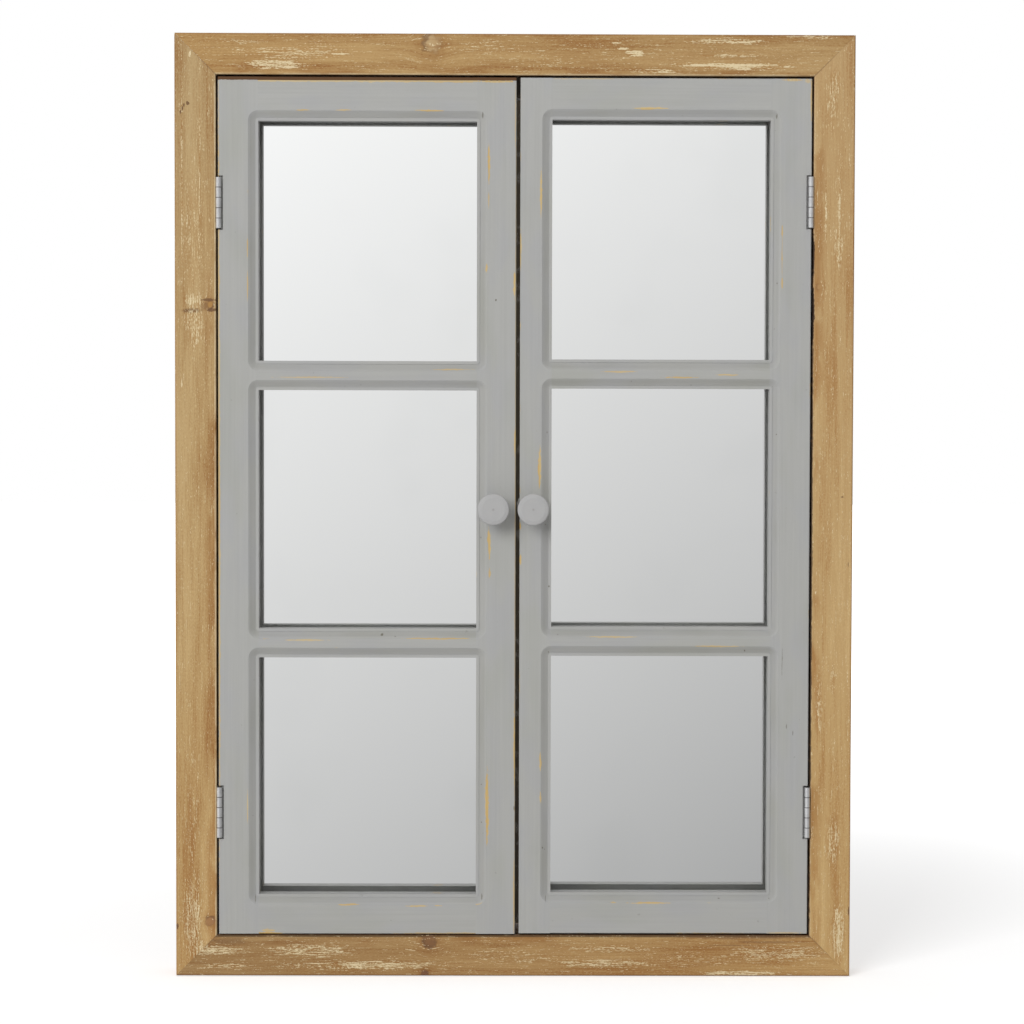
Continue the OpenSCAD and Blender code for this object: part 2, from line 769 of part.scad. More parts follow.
module catch_magnets() {
  color(ferrite) at_catch() for (x = [-magnet_x, magnet_x])
    translate([x - magnet_w / 2, magnet_set_back, -magnet_drop - magnet_t / 2])
      cube([magnet_w, pole_len - magnet_set_back, magnet_t]);
}

module catch_pole_plates() {
  color(steel) at_catch()
    for (x = [-magnet_x, magnet_x], z = [-magnet_t / 2 - strike_t, magnet_t / 2])
      translate([x - magnet_w / 2, 0, z - magnet_drop]) cube([magnet_w, pole_len, strike_t]);
}

module catch_screws() {
  color(steel) catch_fixings()
    pan_screw(small_screw_d, small_screw_head_d, small_screw_d * 0.6, small_screw_len);
}

// The strike plate's own frame: the middle of the plate on the back of the door, opposite its magnet,
// with z into the door.
module at_strike(side) {
  from_centre() translate([meeting_shift, door_t - frame_d, opening_h / 2 - magnet_drop])
    mirror([is_left(side) ? 1 : 0, 0, 0])
      translate([magnet_x, strike_t, 0]) rotate([90, 0, 0]) children();
}

module strike_plate(side) {
  color(steel) at_strike(side) difference() {
    translate([-strike_w / 2, -strike_h / 2, 0]) cube([strike_w, strike_h, strike_t]);
    wood_screw_hole(small_screw_d, small_screw_head_d, small_screw_len);
  }
}

module strike_screw(side) {
  color(steel) at_strike(side) wood_screw(small_screw_d, small_screw_head_d, small_screw_len);
}

frame_stile("left");  // frame_stile_left
frame_stile("right");  // frame_stile_right
frame_rail(0);  // frame_rail_top
frame_rail(1);  // frame_rail_bottom
frame_corner_nails();
mirror_glass();
backing_board();
glazing_points();
hanger_plate("left");  // hanger_plate_left
hanger_plate("right");  // hanger_plate_right
hanger_screws();
frame_leaf("left", "upper");  // left_upper_hinge_frame_leaf
frame_leaf("left", "lower");  // left_lower_hinge_frame_leaf
frame_leaf("right", "upper");  // right_upper_hinge_frame_leaf
frame_leaf("right", "lower");  // right_lower_hinge_frame_leaf
hinge_pin("left", "upper");  // left_upper_hinge_pin
hinge_pin("left", "lower");  // left_lower_hinge_pin
hinge_pin("right", "upper");  // right_upper_hinge_pin
hinge_pin("right", "lower");  // right_lower_hinge_pin
frame_leaf_screws();
catch_housing();
catch_magnets();
catch_pole_plates();
catch_screws();
hinge_stile("left");  // left_hinge_stile
meeting_stile("left");  // left_meeting_stile
crosspiece("left", light_count);  // left_top_rail
crosspiece("left", 0);  // left_bottom_rail
crosspiece("left", 2);  // left_upper_bar
crosspiece("left", 1);  // left_lower_bar
door_leaf("left", "upper");  // left_upper_hinge_door_leaf
door_leaf("left", "lower");  // left_lower_hinge_door_leaf
door_leaf_screws("left");  // left_door_leaf_screws
knob("left");  // left_knob
knob_screw("left");  // left_knob_screw
strike_plate("left");  // left_strike_plate
strike_screw("left");  // left_strike_screw
hinge_stile("right");  // right_hinge_stile
meeting_stile("right");  // right_meeting_stile
crosspiece("right", light_count);  // right_top_rail
crosspiece("right", 0);  // right_bottom_rail
crosspiece("right", 2);  // right_upper_bar
crosspiece("right", 1);  // right_lower_bar
door_leaf("right", "upper");  // right_upper_hinge_door_leaf
door_leaf("right", "lower");  // right_lower_hinge_door_leaf
door_leaf_screws("right");  // right_door_leaf_screws
knob("right");  // right_knob
knob_screw("right");  // right_knob_screw
strike_plate("right");  // right_strike_plate
strike_screw("right");  // right_strike_screw
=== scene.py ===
"""Looks of a shutter mirror: a fir wall frame that holds one mirror behind two painted lattice doors.

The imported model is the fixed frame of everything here. All lengths are metres in its row frame: z is up,
the wall is y = 0, the front faces -y and x runs to the right as seen from the front.
"""

from __future__ import annotations

import logging  # noqa: E402
import math  # noqa: E402
from collections.abc import Callable  # noqa: E402
from dataclasses import dataclass, field  # noqa: E402
from enum import Enum  # noqa: E402

import bpy  # noqa: E402
from mathutils import Matrix, Vector  # noqa: E402


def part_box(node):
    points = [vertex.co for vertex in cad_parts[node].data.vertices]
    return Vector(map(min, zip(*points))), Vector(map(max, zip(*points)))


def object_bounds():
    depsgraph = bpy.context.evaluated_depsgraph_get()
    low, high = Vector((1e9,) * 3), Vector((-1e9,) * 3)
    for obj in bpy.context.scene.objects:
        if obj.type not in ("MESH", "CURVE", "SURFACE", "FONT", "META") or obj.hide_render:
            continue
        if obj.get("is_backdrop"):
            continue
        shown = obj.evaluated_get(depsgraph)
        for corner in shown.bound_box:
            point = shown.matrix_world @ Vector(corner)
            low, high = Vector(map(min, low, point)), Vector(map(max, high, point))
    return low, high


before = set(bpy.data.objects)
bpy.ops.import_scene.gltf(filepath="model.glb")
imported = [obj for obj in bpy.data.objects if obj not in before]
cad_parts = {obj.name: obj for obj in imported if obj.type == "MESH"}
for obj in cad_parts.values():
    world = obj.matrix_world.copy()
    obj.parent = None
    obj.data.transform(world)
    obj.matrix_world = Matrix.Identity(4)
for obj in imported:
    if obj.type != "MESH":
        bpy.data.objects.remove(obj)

LOG = logging.getLogger("shutter_mirror")
MM = 0.001
ORIGIN = (0.0, 0.0, 0.0)

Socket = bpy.types.NodeSocket
Node = bpy.types.Node
Triple = tuple[float, float, float]
Colour = Triple
Spot = tuple[float, float]


class Run(Enum):
    """Direction in which a board's grain or a brush stroke runs."""

    UPRIGHT = "z"
    LEVEL = "x"


class Side(Enum):
    """Side of the mirror, as seen from the front."""

    LEFT = "left"
    RIGHT = "right"


# ---- Node trees ----


def operator(name: str, turned: bool = False) -> Callable[..., Value]:
    """Makes an operator method for Value.

    Args:
        name: Blender's name of the Math node's operation.
        turned: Whether the value is the node's second input.

    Returns:
        The method, which takes the other input if the operation has two.
    """
    def method(self: Value, *other: object) -> Value:
        """Adds the Math node and returns its result."""
        return self.wiring.math(name, *((*other, self) if turned else (self, *other)))

    return method


class Value:
    """A value in a shader. It stands for an output socket, and its operators add Math nodes."""

    def __init__(self, wiring: Wiring, socket: Socket) -> None:
        """Keeps the output socket and the wiring of its tree."""
        self.wiring = wiring
        self.socket = socket

    __add__, __radd__ = operator("ADD"), operator("ADD", turned=True)
    __sub__, __rsub__ = operator("SUBTRACT"), operator("SUBTRACT", turned=True)
    __mul__, __rmul__ = operator("MULTIPLY"), operator("MULTIPLY", turned=True)
    __truediv__, __pow__, __abs__ = operator("DIVIDE"), operator("POWER"), operator("ABSOLUTE")


Values = dict[str, Value]
Inputs = dict[str | int, object]


class Wiring:
    """Adds nodes to one tree and links them."""

    def __init__(self, tree: bpy.types.NodeTree) -> None:
        """Keeps the node tree of a material, a world or a group."""
        self.tree = tree

    def add(self, kind: str, **settings: object) -> Node:
        """Adds one node.

        Args:
            kind: Blender's name of the node type.
            **settings: Properties to set on it.

        Returns:
            The new node.
        """
        node = self.tree.nodes.new(kind)
        for name, value in settings.items():
            setattr(node, name, value)
        return node

    def feed(self, socket: Socket, value: object) -> None:
        """Links a value into an input socket, or sets it to a constant.

        Args:
            socket: The input socket to feed.
            value: A value to link, or else a number, a vector or a colour.
        """
        if isinstance(value, Value):
            self.tree.links.new(value.socket, socket)
        elif socket.type == "RGBA" and len(value) == 3:
            socket.default_value = (*value, 1.0)
        else:
            socket.default_value = value

    def settle(self, node: Node, inputs: Inputs) -> None:
        """Feeds several inputs of a node, by name or number."""
        for name, value in inputs.items():
            self.feed(node.inputs[name], value)

    def make(self, kind: str, inputs: Inputs, output: str | int = 0, **settings: object) -> Value:
        """Adds a node and feeds its inputs.

        Args:
            kind: Blender's name of the node type.
            inputs: What its inputs get, by name or number.
            output: The output to return, by name or number.
            **settings: Properties to set on it.

        Returns:
            One of its outputs.
        """
        node = self.add(kind, **settings)
        self.settle(node, inputs)
        return Value(self, node.outputs[output])

    def math(self, operation: str, *values: object, clamp: bool = False) -> Value:
        """Adds a Math node, by Blender's name of its operation, and returns its result."""
        return self.make("ShaderNodeMath", dict(enumerate(values)), operation=operation, use_clamp=clamp)

    def length(self, x: Value, y: Value) -> Value:
        """Returns the length of a vector with two parts."""
        return self.math("SQRT", x ** 2.0 + y ** 2.0)

    def split(self, vector: Value) -> tuple[Value, Value, Value]:
        """Returns the three parts of a vector."""
        node = self.add("ShaderNodeSeparateXYZ")
        self.feed(node.inputs[0], vector)
        x, y, z = (Value(self, socket) for socket in node.outputs)
        return x, y, z

    def join(self, x: object, y: object, z: object) -> Value:
        """Returns a vector made of three parts."""
        return self.make("ShaderNodeCombineXYZ", {0: x, 1: y, 2: z})

    def stretch(self, vector: Value, factors: object) -> Value:
        """Returns a vector with each of its parts multiplied by a factor."""
        return self.make("ShaderNodeVectorMath", {0: vector, 1: factors}, operation="MULTIPLY")

    def shift(self, vector: Value, offset: object) -> Value:
        """Returns a vector with an offset added."""
        return self.make("ShaderNodeVectorMath", {0: vector, 1: offset}, operation="ADD")

    def noise(self, place: Value, scales: Triple, detail: float = 2.0, roughness: float = 0.5) -> Value:
        """Makes a noise.

        Args:
            place: The place in the material.
            scales: How many lumps a metre holds along each axis.
            detail: How many finer noises are laid over it.
            roughness: How strong those are.

        Returns:
            A value that is mostly from 0.3 to 0.7.
        """
        inputs = {"Vector": self.stretch(place, scales), "Scale": 1.0, "Detail": detail,
                  "Roughness": roughness}
        return self.make("ShaderNodeTexNoise", inputs, "Fac", noise_dimensions="3D")

    def remap(self, value: object, low: object, high: object, to_low: object = 0.0,
              to_high: object = 1.0, smooth: bool = True) -> Value:
        """Maps one range of values to another, and holds it at the ends.

        Args:
            value: The value to map.
            low: Where the first range starts.
            high: Where the first range ends.
            to_low: Where the second range starts.
            to_high: Where the second range ends.
            smooth: Whether the change eases in and out.

        Returns:
            The mapped value.
        """
        return self.make("ShaderNodeMapRange", {0: value, 1: low, 2: high, 3: to_low, 4: to_high},
                         interpolation_type="SMOOTHSTEP" if smooth else "LINEAR", clamp=True)

    def mix(self, share: object, first: object, second: object, blend: str = "MIX") -> Value:
        """Mixes two colours.

        Args:
            share: How much of the second colour shows, from 0 to 1.
            first: The colour at 0.
            second: The colour at 1.
            blend: Blender's name of the blend mode.

        Returns:
            The mixed colour.
        """
        return self.make("ShaderNodeMix", {0: share, 6: first, 7: second}, 2, data_type="RGBA",
                         blend_type=blend)

    def tint(self, colour: object, by: object) -> Value:
        """Returns a colour multiplied by another."""
        return self.mix(1.0, colour, by, "MULTIPLY")

    def bump(self, height: Value, distance: float, strength: float) -> Value:
        """Returns a normal that follows a height from 0 to 1, whose full step is the distance."""
        return self.make("ShaderNodeBump", {"Strength": strength, "Distance": distance, "Height": height})


# ---- Effects that several finishes share ----


class Effect:
    """A shader node group with named sockets, built once and placed in each material that uses it."""

    title = "effect"
    takes: dict[str, object] = {}
    gives: tuple[str, ...] = ()

    @classmethod
    def tree(cls) -> bpy.types.NodeTree:
        """Returns the group's node tree, which is built on the first call."""
        found = bpy.data.node_groups.get(cls.title)
        if found is not None:
            return found
        tree = bpy.data.node_groups.new(cls.title, "ShaderNodeTree")
        for name, value in cls.takes.items():
            kind = "NodeSocketVector" if isinstance(value, tuple) else "NodeSocketFloat"
            tree.interface.new_socket(name=name, in_out="INPUT", socket_type=kind).default_value = value
        for name in cls.gives:
            tree.interface.new_socket(name=name, in_out="OUTPUT", socket_type="NodeSocketFloat")
        wiring = Wiring(tree)
        entry = wiring.add("NodeGroupInput")
        given = {name: Value(wiring, entry.outputs[name]) for name in cls.takes}
        wiring.settle(wiring.add("NodeGroupOutput"), cls.draw(wiring, given))
        return tree

    @classmethod
    def draw(cls, w: Wiring, given: Values) -> Values:
        """Draws the group's nodes.

        Args:
            w: The wiring of the group's tree.
            given: The group's inputs by name.

        Returns:
            The group's outputs by name.
        """
        raise NotImplementedError

    @classmethod
    def place(cls, w: Wiring, *values: object) -> Values:
        """Places the group in a material.

        Args:
            w: The wiring of the material's tree.
            *values: What the group's inputs get, in the order of takes.

        Returns:
            The group's outputs by name.
        """
        node = w.add("ShaderNodeGroup", node_tree=cls.tree())
        w.settle(node, dict(zip(cls.takes, values)))
        return {name: Value(w, node.outputs[name]) for name in cls.gives}


class BoardGrain(Effect):
    """Grain of a softwood board. Place runs along the grain, across the face and in from it."""

    title = "board grain"
    takes = {"Place": ORIGIN, "Ring width": 0.006}
    gives = ("Tone", "Ring", "Streak", "Hair", "Fibre")

    @classmethod
    def draw(cls, w: Wiring, given: Values) -> Values:
        """Draws broad tone, growth rings, streaks, hairs and fibres, each about 0.5 in the middle."""
        place = given["Place"]
        tone = w.noise(place, (5, 52, 40), 3.0, 0.55)
        drift = w.noise(place, (3.5, 45, 45), 2.0)
        _, across, depth = w.split(place)
        turns = (across + drift * 0.03 + depth) / given["Ring width"]
        phase = w.math("FRACT", turns)
        ring = w.remap(phase, 0.0, 0.72) * w.remap(phase, 0.82, 1.0, 1.0, 0.0)
        streak = w.noise(place, (10, 290, 220), 4.0, 0.62)
        hair = w.noise(place, (34, 1150, 800), 2.0, 0.6)
        fibre = w.noise(place, (560, 1100, 900), 2.0, 0.6)
        return {"Tone": tone, "Ring": ring, "Streak": streak, "Hair": hair, "Fibre": fibre}


class KnotEye(Effect):
    """A knot in a board, with a dark bark on the side that it leans to and grain that swings round it."""

    title = "knot eye"
    takes = {"Place": ORIGIN, "Along": 0.0, "Across": 0.0, "Radius": 0.005,
             "Lean along": -1.0, "Lean across": 0.0}
    gives = ("Eye", "Rim", "Halo", "Swing")

    @classmethod
    def draw(cls, w: Wiring, given: Values) -> Values:
        """Draws the knot's heart, its bark rim, the stained wood about it and the swing of the grain."""
        along, across, _ = w.split(given["Place"])
        radius = given["Radius"]
        wobble = w.noise(given["Place"], (300, 300, 0), 3.0)
        reach_along = along - given["Along"]
        reach_across = across - given["Across"]
        far = w.length(reach_along, reach_across)
        size = far / radius + (wobble - 0.5) * 1.3
        eye = w.remap(size, 0.7, 1.15, 1.0, 0.0)
        lean = reach_along * given["Lean along"] + reach_across * given["Lean across"]
        lean = w.remap(lean / radius, -0.1, 0.8, 0.35, 1.0)
        rim = w.remap(size, 0.5, 0.85) * w.remap(size, 0.95, 1.35, 1.0, 0.0) * lean
        halo = w.remap(size, 0.8, 2.8, 1.0, 0.0)
        fall = w.math("EXPONENT", (far / (radius * 2.2)) ** 2.0 * -1.0)
        return {"Eye": eye, "Rim": rim, "Halo": halo, "Swing": reach_across * fall * -0.75}


class SoftPatch(Effect):
    """An oval patch with a ragged, fading edge, with Place as for a board."""

    title = "soft patch"
    takes = {"Place": ORIGIN, "Along": 0.0, "Across": 0.0, "Reach": 0.04, "Spread": 0.006}
    gives = ("Mask",)

    @classmethod
    def draw(cls, w: Wiring, given: Values) -> Values:
        """Draws the patch, 1 in its middle."""
        along, across, _ = w.split(given["Place"])
        run = (along - given["Along"]) / given["Reach"]
        rise = (across - given["Across"]) / given["Spread"]
        ragged = w.noise(given["Place"], (130, 480, 60), 4.0, 0.6)
        far = w.length(run, rise) + (ragged - 0.5) * 1.6
        return {"Mask": w.remap(far, 0.4, 1.15, 1.0, 0.0)}


class DryBrush(Effect):
    """Cream wash that a nearly dry brush leaves on the high fibres of a board."""

    title = "dry brush"
    takes = {"Place": ORIGIN, "Patch": 0.0, "Amount": 0.3}
    gives = ("Mask", "Gap", "Haze")

    @classmethod
    def draw(cls, w: Wiring, given: Values) -> Values:
        """Draws separate bristle flecks, the thin haze about them and painted shade in the gaps between
        them.
        """
        place = given["Place"]
        row = w.noise(place, (70, 1900, 1500), 1.0, 0.6)
        dot = w.noise(place, (520, 1700, 1300), 2.0, 0.7)
        bunch = w.noise(place, (14, 110, 90), 3.0, 0.55)
        load = w.remap(bunch, 0.45, 0.7) * given["Amount"] + given["Patch"]
        level = 0.617 - w.math("MINIMUM", load, 2.0) * 0.095
        over = row * 0.45 + dot * 0.55 - level
        # Painted shade between the flecks where the brush went.
        gap = w.remap(over, -0.1, -0.01, 1.0, 0.0) * w.math("MINIMUM", load, 1.0)
        return {"Mask": w.remap(over, -0.012, 0.032), "Gap": gap,
                "Haze": w.math("MULTIPLY", load, 0.45, clamp=True)}


class LightEdge(Effect):
    """Distance on a door's face from the nearest of its three lights, with rounded outer corners."""

    title = "light edge"
    takes = {"Place": ORIGIN, "Middle x": 0.0, "First z": 0.0, "Pitch": 0.2,
             "Half width": 0.08, "Half height": 0.09}
    gives = ("Distance",)

    @classmethod
    def draw(cls, w: Wiring, given: Values) -> Values:
        """Draws the distance in metres, which is below zero over a light."""
        x, _, z = w.split(given["Place"])
        above = z - given["First z"]
        step = w.math("ROUND", above / given["Pitch"])
        step = w.math("MAXIMUM", w.math("MINIMUM", step, 2.0), 0.0)
        above = above - step * given["Pitch"]
        out_x = abs(x - given["Middle x"]) - given["Half width"]
        out_z = abs(above) - given["Half height"]
        corner = w.length(w.math("MAXIMUM", out_x, 0.0), w.math("MAXIMUM", out_z, 0.0))
        inside = w.math("MINIMUM", w.math("MAXIMUM", out_x, out_z), 0.0)
        return {"Distance": corner + inside}


class RimEdge(Effect):
    """Distance on a door's face from its nearest outer edge."""

    title = "rim edge"
    takes = {"Place": ORIGIN, "Middle": ORIGIN, "Half": (0.1, 0.0, 0.3)}
    gives = ("Distance",)

    @classmethod
    def draw(cls, w: Wiring, given: Values) -> Values:
        """Draws the distance in metres, zero at the edge and above zero inside."""
        x, _, z = w.split(given["Place"])
        middle_x, _, middle_z = w.split(given["Middle"])
        half_x, _, half_z = w.split(given["Half"])
        left_x = half_x - abs(x - middle_x)
        left_z = half_z - abs(z - middle_z)
        return {"Distance": w.math("MINIMUM", left_x, left_z)}


class EdgeRub(Effect):
    """Paint rubbed through along an edge, in broken lengths."""

    title = "edge rub"
    takes = {"Place": ORIGIN, "Distance": 0.0, "Width": 0.0008, "Cover": 0.5}
    gives = ("Mask",)

    @classmethod
    def draw(cls, w: Wiring, given: Values) -> Values:
        """Draws the mask. Distance is taken from the edge, and Cover is the share of it that is bare."""
        lengths = w.noise(given["Place"], (24, 24, 24), 4.0, 0.65)
        ragged = w.noise(given["Place"], (520, 520, 520), 2.0, 0.6)
        level = w.remap(given["Cover"], 0.0, 1.0, 0.72, 0.28, smooth=False)
        bare = w.remap(lengths - level, -0.02, 0.06)
        far = abs(given["Distance"]) / given["Width"] + (ragged - 0.5) * 2.2
        return {"Mask": bare * w.remap(far, 0.5, 1.05, 1.0, 0.0)}


class RubStroke(Effect):
    """One long stroke where sandpaper went through the paint, with Place as for a board."""

    title = "rub stroke"
    takes = {"Place": ORIGIN, "Along": 0.0, "Across": 0.0, "Half length": 0.02,
             "Half width": 0.0008}
    gives = ("Mask",)

    @classmethod
    def draw(cls, w: Wiring, given: Values) -> Values:
        """Draws the stroke, pointed at its ends and ragged along its sides."""
        along, across, _ = w.split(given["Place"])
        run = (along - given["Along"]) / given["Half length"]
        taper = 1.0 - run ** 2.0
        wander = w.noise(given["Place"], (45, 0, 0), 2.0)
        ragged = w.noise(given["Place"], (260, 900, 0), 3.0, 0.6)
        off = across - given["Across"] + (wander - 0.5) * given["Half width"] * 1.6
        value = taper - abs(off) / given["Half width"] + (ragged - 0.5) * 2.4
        return {"Mask": w.remap(value, -0.05, 0.3) * w.remap(taper, 0.0, 0.12)}


class HandlingMarks(Effect):
    """Faint blotches and fine scratches that metal and paint pick up in use."""

    title = "handling marks"
    takes = {"Place": ORIGIN, "Grain": (200.0, 200.0, 40.0)}
    gives = ("Blotch", "Scratch", "Speck")

    @classmethod
    def draw(cls, w: Wiring, given: Values) -> Values:
        """Draws the three kinds of mark, each from 0 to 1."""
        scratch = w.noise(w.stretch(given["Place"], given["Grain"]), (12, 12, 12), 3.0, 0.7)
        blotch = w.noise(given["Place"], (140, 140, 140), 3.0, 0.5)
        speck = w.noise(given["Place"], (900, 900, 900), 1.0, 0.5)
        return {"Blotch": w.remap(blotch, 0.35, 0.65), "Scratch": w.remap(scratch, 0.35, 0.68),
                "Speck": w.remap(speck, 0.66, 0.74)}


# ---- Finishes ----


@dataclass(frozen=True)
class Finish:
    """A finish, which makes one Blender material."""

    name: str

    def material(self) -> bpy.types.Material:
        """Makes the material and feeds its shader with the finish."""
        material = bpy.data.materials.new(self.name)
        material.use_nodes = True
        w = Wiring(material.node_tree)
        shader = material.node_tree.nodes["Principled BSDF"]
        w.settle(shader, self.draw(w, w.make("ShaderNodeTexCoord", {}, "Object")))
        return material

    def draw(self, w: Wiring, place: Value) -> Inputs:
        """Draws the finish.

        Args:
            w: The wiring of the material's tree.
            place: The place on the object.

        Returns:
            What the shader's inputs get, by name.
        """
        raise NotImplementedError


def along_board(w: Wiring, place: Value, run: Run) -> Value:
    """Returns a place on the object as one along a board, across its face and in from its front."""
    x, y, z = w.split(place)
    return w.join(z, x, y) if run is Run.UPRIGHT else w.join(x, z, y)


@dataclass(frozen=True)
class Knot:
    """A knot on a board: its place along and across it, its radius and the side of its dark bark."""

    along: float
    across: float
    radius: float
    dark: float = 0.8
    lean: Spot = (-1.0, 0.0)
    core: Colour = (0.400, 0.235, 0.100)


@dataclass(frozen=True)
class Patch:
    """A patch or stroke on a board: its place, its half length and half width, and how dense it is."""

    along: float
    across: float
    reach: float
    spread: float
    dense: float = 1.0

    def mask(self, w: Wiring, board: Value, effect: type[Effect]) -> Value:
        """Returns the mask that an effect draws in the patch, as dense as the patch is."""
        drawn = effect.place(w, board, self.along, self.across, self.reach, self.spread)
        return drawn["Mask"] * self.dense


Knots = tuple[Knot, ...]
Patches = tuple[Patch, ...]


def patches(*rows: tuple[float, ...]) -> Patches:
    """Returns a patch for each row. The first four numbers of a row are millimetres."""
    return tuple(Patch(*(value * MM for value in row[:4]), *row[4:]) for row in rows)


@dataclass(frozen=True)
class Extent:
    """Where a frame member lies: its two ends along the grain, and its outer and inner edge across it."""

    low: float
    high: float
    outer: float
    inner: float


@dataclass(frozen=True)
class FirFinish(Finish):
    """Honey-stained fir that was dry-brushed with cream."""

    run: Run
    extent: Extent
    front: float
    seed: float
    honey_low: Colour
    honey_high: Colour
    wash: float = 0.3
    contrast: float = 1.0
    scuffed: float = 0.75
    # Strength of a painted shade line along the inner arris.
    arris_shade: float = 0.0
    ring_width: float = 6.5 * MM
    rim_reach: float = 1.8 * MM
    tan_reach: float = 12.0 * MM
    scuff_reach: float = 1.6 * MM
    arris_shade_reach: float = 1.9 * MM
    mitre_half: float = 0.75 * MM
    seed_steps: Triple = (0.731, 0.217, 0.173)
    knots: Knots = ()
    patches: Patches = ()
    marks: Patches = ()
    cracks: Patches = ()
    # Painted shade: near-black strokes along the inner arris that make the gap beside a door look wider
    # and darker.
    shade_lines: Patches = ()
    deeper: Colour = (0.76, 0.61, 0.47)
    lighter: Colour = (1.20, 1.29, 1.42)
    umber: Colour = (0.150, 0.075, 0.036)
    # Near-black of the painted shade lines along the inner arris.
    near_black: Colour = (0.040, 0.022, 0.012)
    cream: Colour = (0.760, 0.635, 0.400)
    straw: Colour = (0.600, 0.420, 0.190)

    def timber(self, w: Wiring, along: Value, grain: Values) -> Value:
        """Mixes the bare wood.

        Args:
            w: The wiring to add nodes to.
            along: The place along the member.
            grain: The outputs of the board grain.

        Returns:
            The colour of the wood without knots and wash.
        """
        base = w.mix(w.remap(along, self.extent.low, self.extent.high, smooth=False),
                     self.honey_low, self.honey_high)
        shares = {"Tone": 2.20, "Streak": 1.05, "Hair": 1.00, "Fibre": 1.10}
        parts = [(grain[name] - 0.5) * (share * self.contrast) for name, share in shares.items()]
        value = sum(parts, 0.5)
        dark = w.remap(value, 0.05, 0.5, 1.0, 0.0) * 0.9 + grain["Ring"] * 0.1
        colour = w.mix(dark, base, w.tint(base, self.deeper))
        pale = w.remap(value, 0.5, 0.9) * 0.8
        return w.mix(pale, colour, w.tint(colour, self.lighter))

    def edges(self, w: Wiring, colour: Value, board: Value) -> Value:
        """Adds the dark outer edge, the scuffed inner edge, painted shade on the inner side and, where
        asked, along the inner arris, and the mitre lines.

        Args:
            w: The wiring to add nodes to.
            colour: The colour so far.
            board: The place on the board.

        Returns:
            The new colour.
        """
        along, across, depth = w.split(board)
        reach = self.extent
        width = abs(reach.inner - reach.outer)
        inward = abs(across - reach.outer)
        rim = w.remap(inward, 0.2 * MM, self.rim_reach, 0.7, 0.0)
        colour = w.mix(rim, colour, w.tint(colour, self.deeper))
        cloud = w.noise(board, (16, 60, 60), 3.0, 0.6)
        tan = w.remap(inward, width - self.tan_reach, width - 2.0 * MM) * w.remap(cloud, 0.46, 0.62) * 0.9
        colour = w.mix(tan, colour, w.tint(colour, self.deeper))
        patchy = w.noise(board, (30, 0, 0), 3.0, 0.6)
        line = w.remap(inward, width - self.scuff_reach, width - 0.8 * MM)
        scuff = line * w.remap(patchy, 0.32, 0.55) * self.scuffed
        colour = w.mix(scuff, colour, self.cream)
        # Painted shade: a near-black line along the inner arris, stronger or weaker along its length.
        if self.arris_shade:
            line = w.remap(inward, width - self.arris_shade_reach, width - 0.9 * MM)
            grime_and_shade = line * w.remap(patchy, 0.3, 0.5, 0.6, 1.0) * self.arris_shade
            colour = w.mix(grime_and_shade, colour, self.near_black)
        # Painted shade: the inner side faces just behind the front are darkened to umber so that the gaps
        # round the doors read dark.
        within = w.remap(inward, width - 0.3 * MM, width - 0.1 * MM)
        behind = w.remap(depth, self.front + 0.2 * MM, self.front + 0.7 * MM)
        fade = w.remap(depth, self.front + 15.0 * MM, self.front + 19.0 * MM, 0.85, 0.6)
        side = within * behind * fade
        colour = w.mix(side, colour, self.umber)
        off_low = abs(along - reach.low - inward)
        off_high = abs(reach.high - along - inward)
        mitre = w.remap(w.math("MINIMUM", off_low, off_high), 0.25 * MM, self.mitre_half, 1.0, 0.0)
        joint = mitre * w.remap(inward, 0.25 * width, 0.9 * width, 0.04, 0.45)
        return w.mix(joint, colour, self.umber)

    def draw(self, w: Wiring, place: Value) -> Inputs:
        """Draws the finish and returns what the shader's inputs get."""
        board = along_board(w, place, self.run)
        flow = board
        eyes = [KnotEye.place(w, board, knot.along, knot.across, knot.radius, *knot.lean)
                for knot in self.knots]
        if eyes:
            first, *others = (eye["Swing"] for eye in eyes)
            flow = w.shift(board, w.join(0.0, sum(others, first), 0.0))
        seeded = w.shift(flow, tuple(self.seed * step for step in self.seed_steps))
        grain = BoardGrain.place(w, seeded, self.ring_width)
        along, _, depth = w.split(board)
        colour = self.edges(w, self.timber(w, along, grain), board)
        ripple = w.remap(grain["Hair"], 0.3, 0.7, 0.5, 0.95)
        for knot, eye in zip(self.knots, eyes):
            colour = w.mix(eye["Halo"] * knot.dark * 0.8, colour, w.tint(colour, self.deeper))
            colour = w.mix(eye["Eye"] * ripple, colour, knot.core)
            colour = w.mix(eye["Rim"] * knot.dark, colour, self.umber)
        for mark in self.marks:
            colour = w.mix(mark.mask(w, board, SoftPatch), colour, self.umber)
        patch = 0.0
        for spot in self.patches:
            patch = w.math("MAXIMUM", patch, spot.mask(w, board, SoftPatch))
        facing = w.remap(depth, self.front + 1.0 * MM, self.front + 6.0 * MM, 1.0, 0.12)
        brush = DryBrush.place(w, seeded, patch * facing, facing * self.wash)
        colour = w.mix(brush["Haze"] * 0.4, colour, self.straw)
        # Painted shade in the gaps between the flecks.
        colour = w.mix(brush["Gap"] * 0.85, colour, w.tint(colour, self.deeper))
        colour = w.mix(brush["Mask"] * 0.88, colour, self.cream)
        # Cracks are umber; the strokes in near-black are painted shade.
        for strokes, tone in ((self.cracks, self.umber), (self.shade_lines, self.near_black)):
            for stroke in strokes:
                colour = w.mix(stroke.mask(w, board, RubStroke), colour, tone)
        height = grain["Hair"] * 0.9 + grain["Streak"] * 0.5 + brush["Mask"] * 0.4 + grain["Ring"] * -0.15
        return {"Base Color": colour, "Roughness": w.remap(brush["Mask"], 0.0, 1.0, 0.62, 0.82),
                "Specular IOR Level": 0.35, "Normal": w.bump(height, 0.2 * MM, 0.7)}


@dataclass(frozen=True)
class Lattice:
    """Where one door's lights and outer edges lie."""

    middle_x: float
    first_z: float
    pitch: float
    half_width: float
    half_height: float
    rim_middle: Triple
    rim_half: Triple


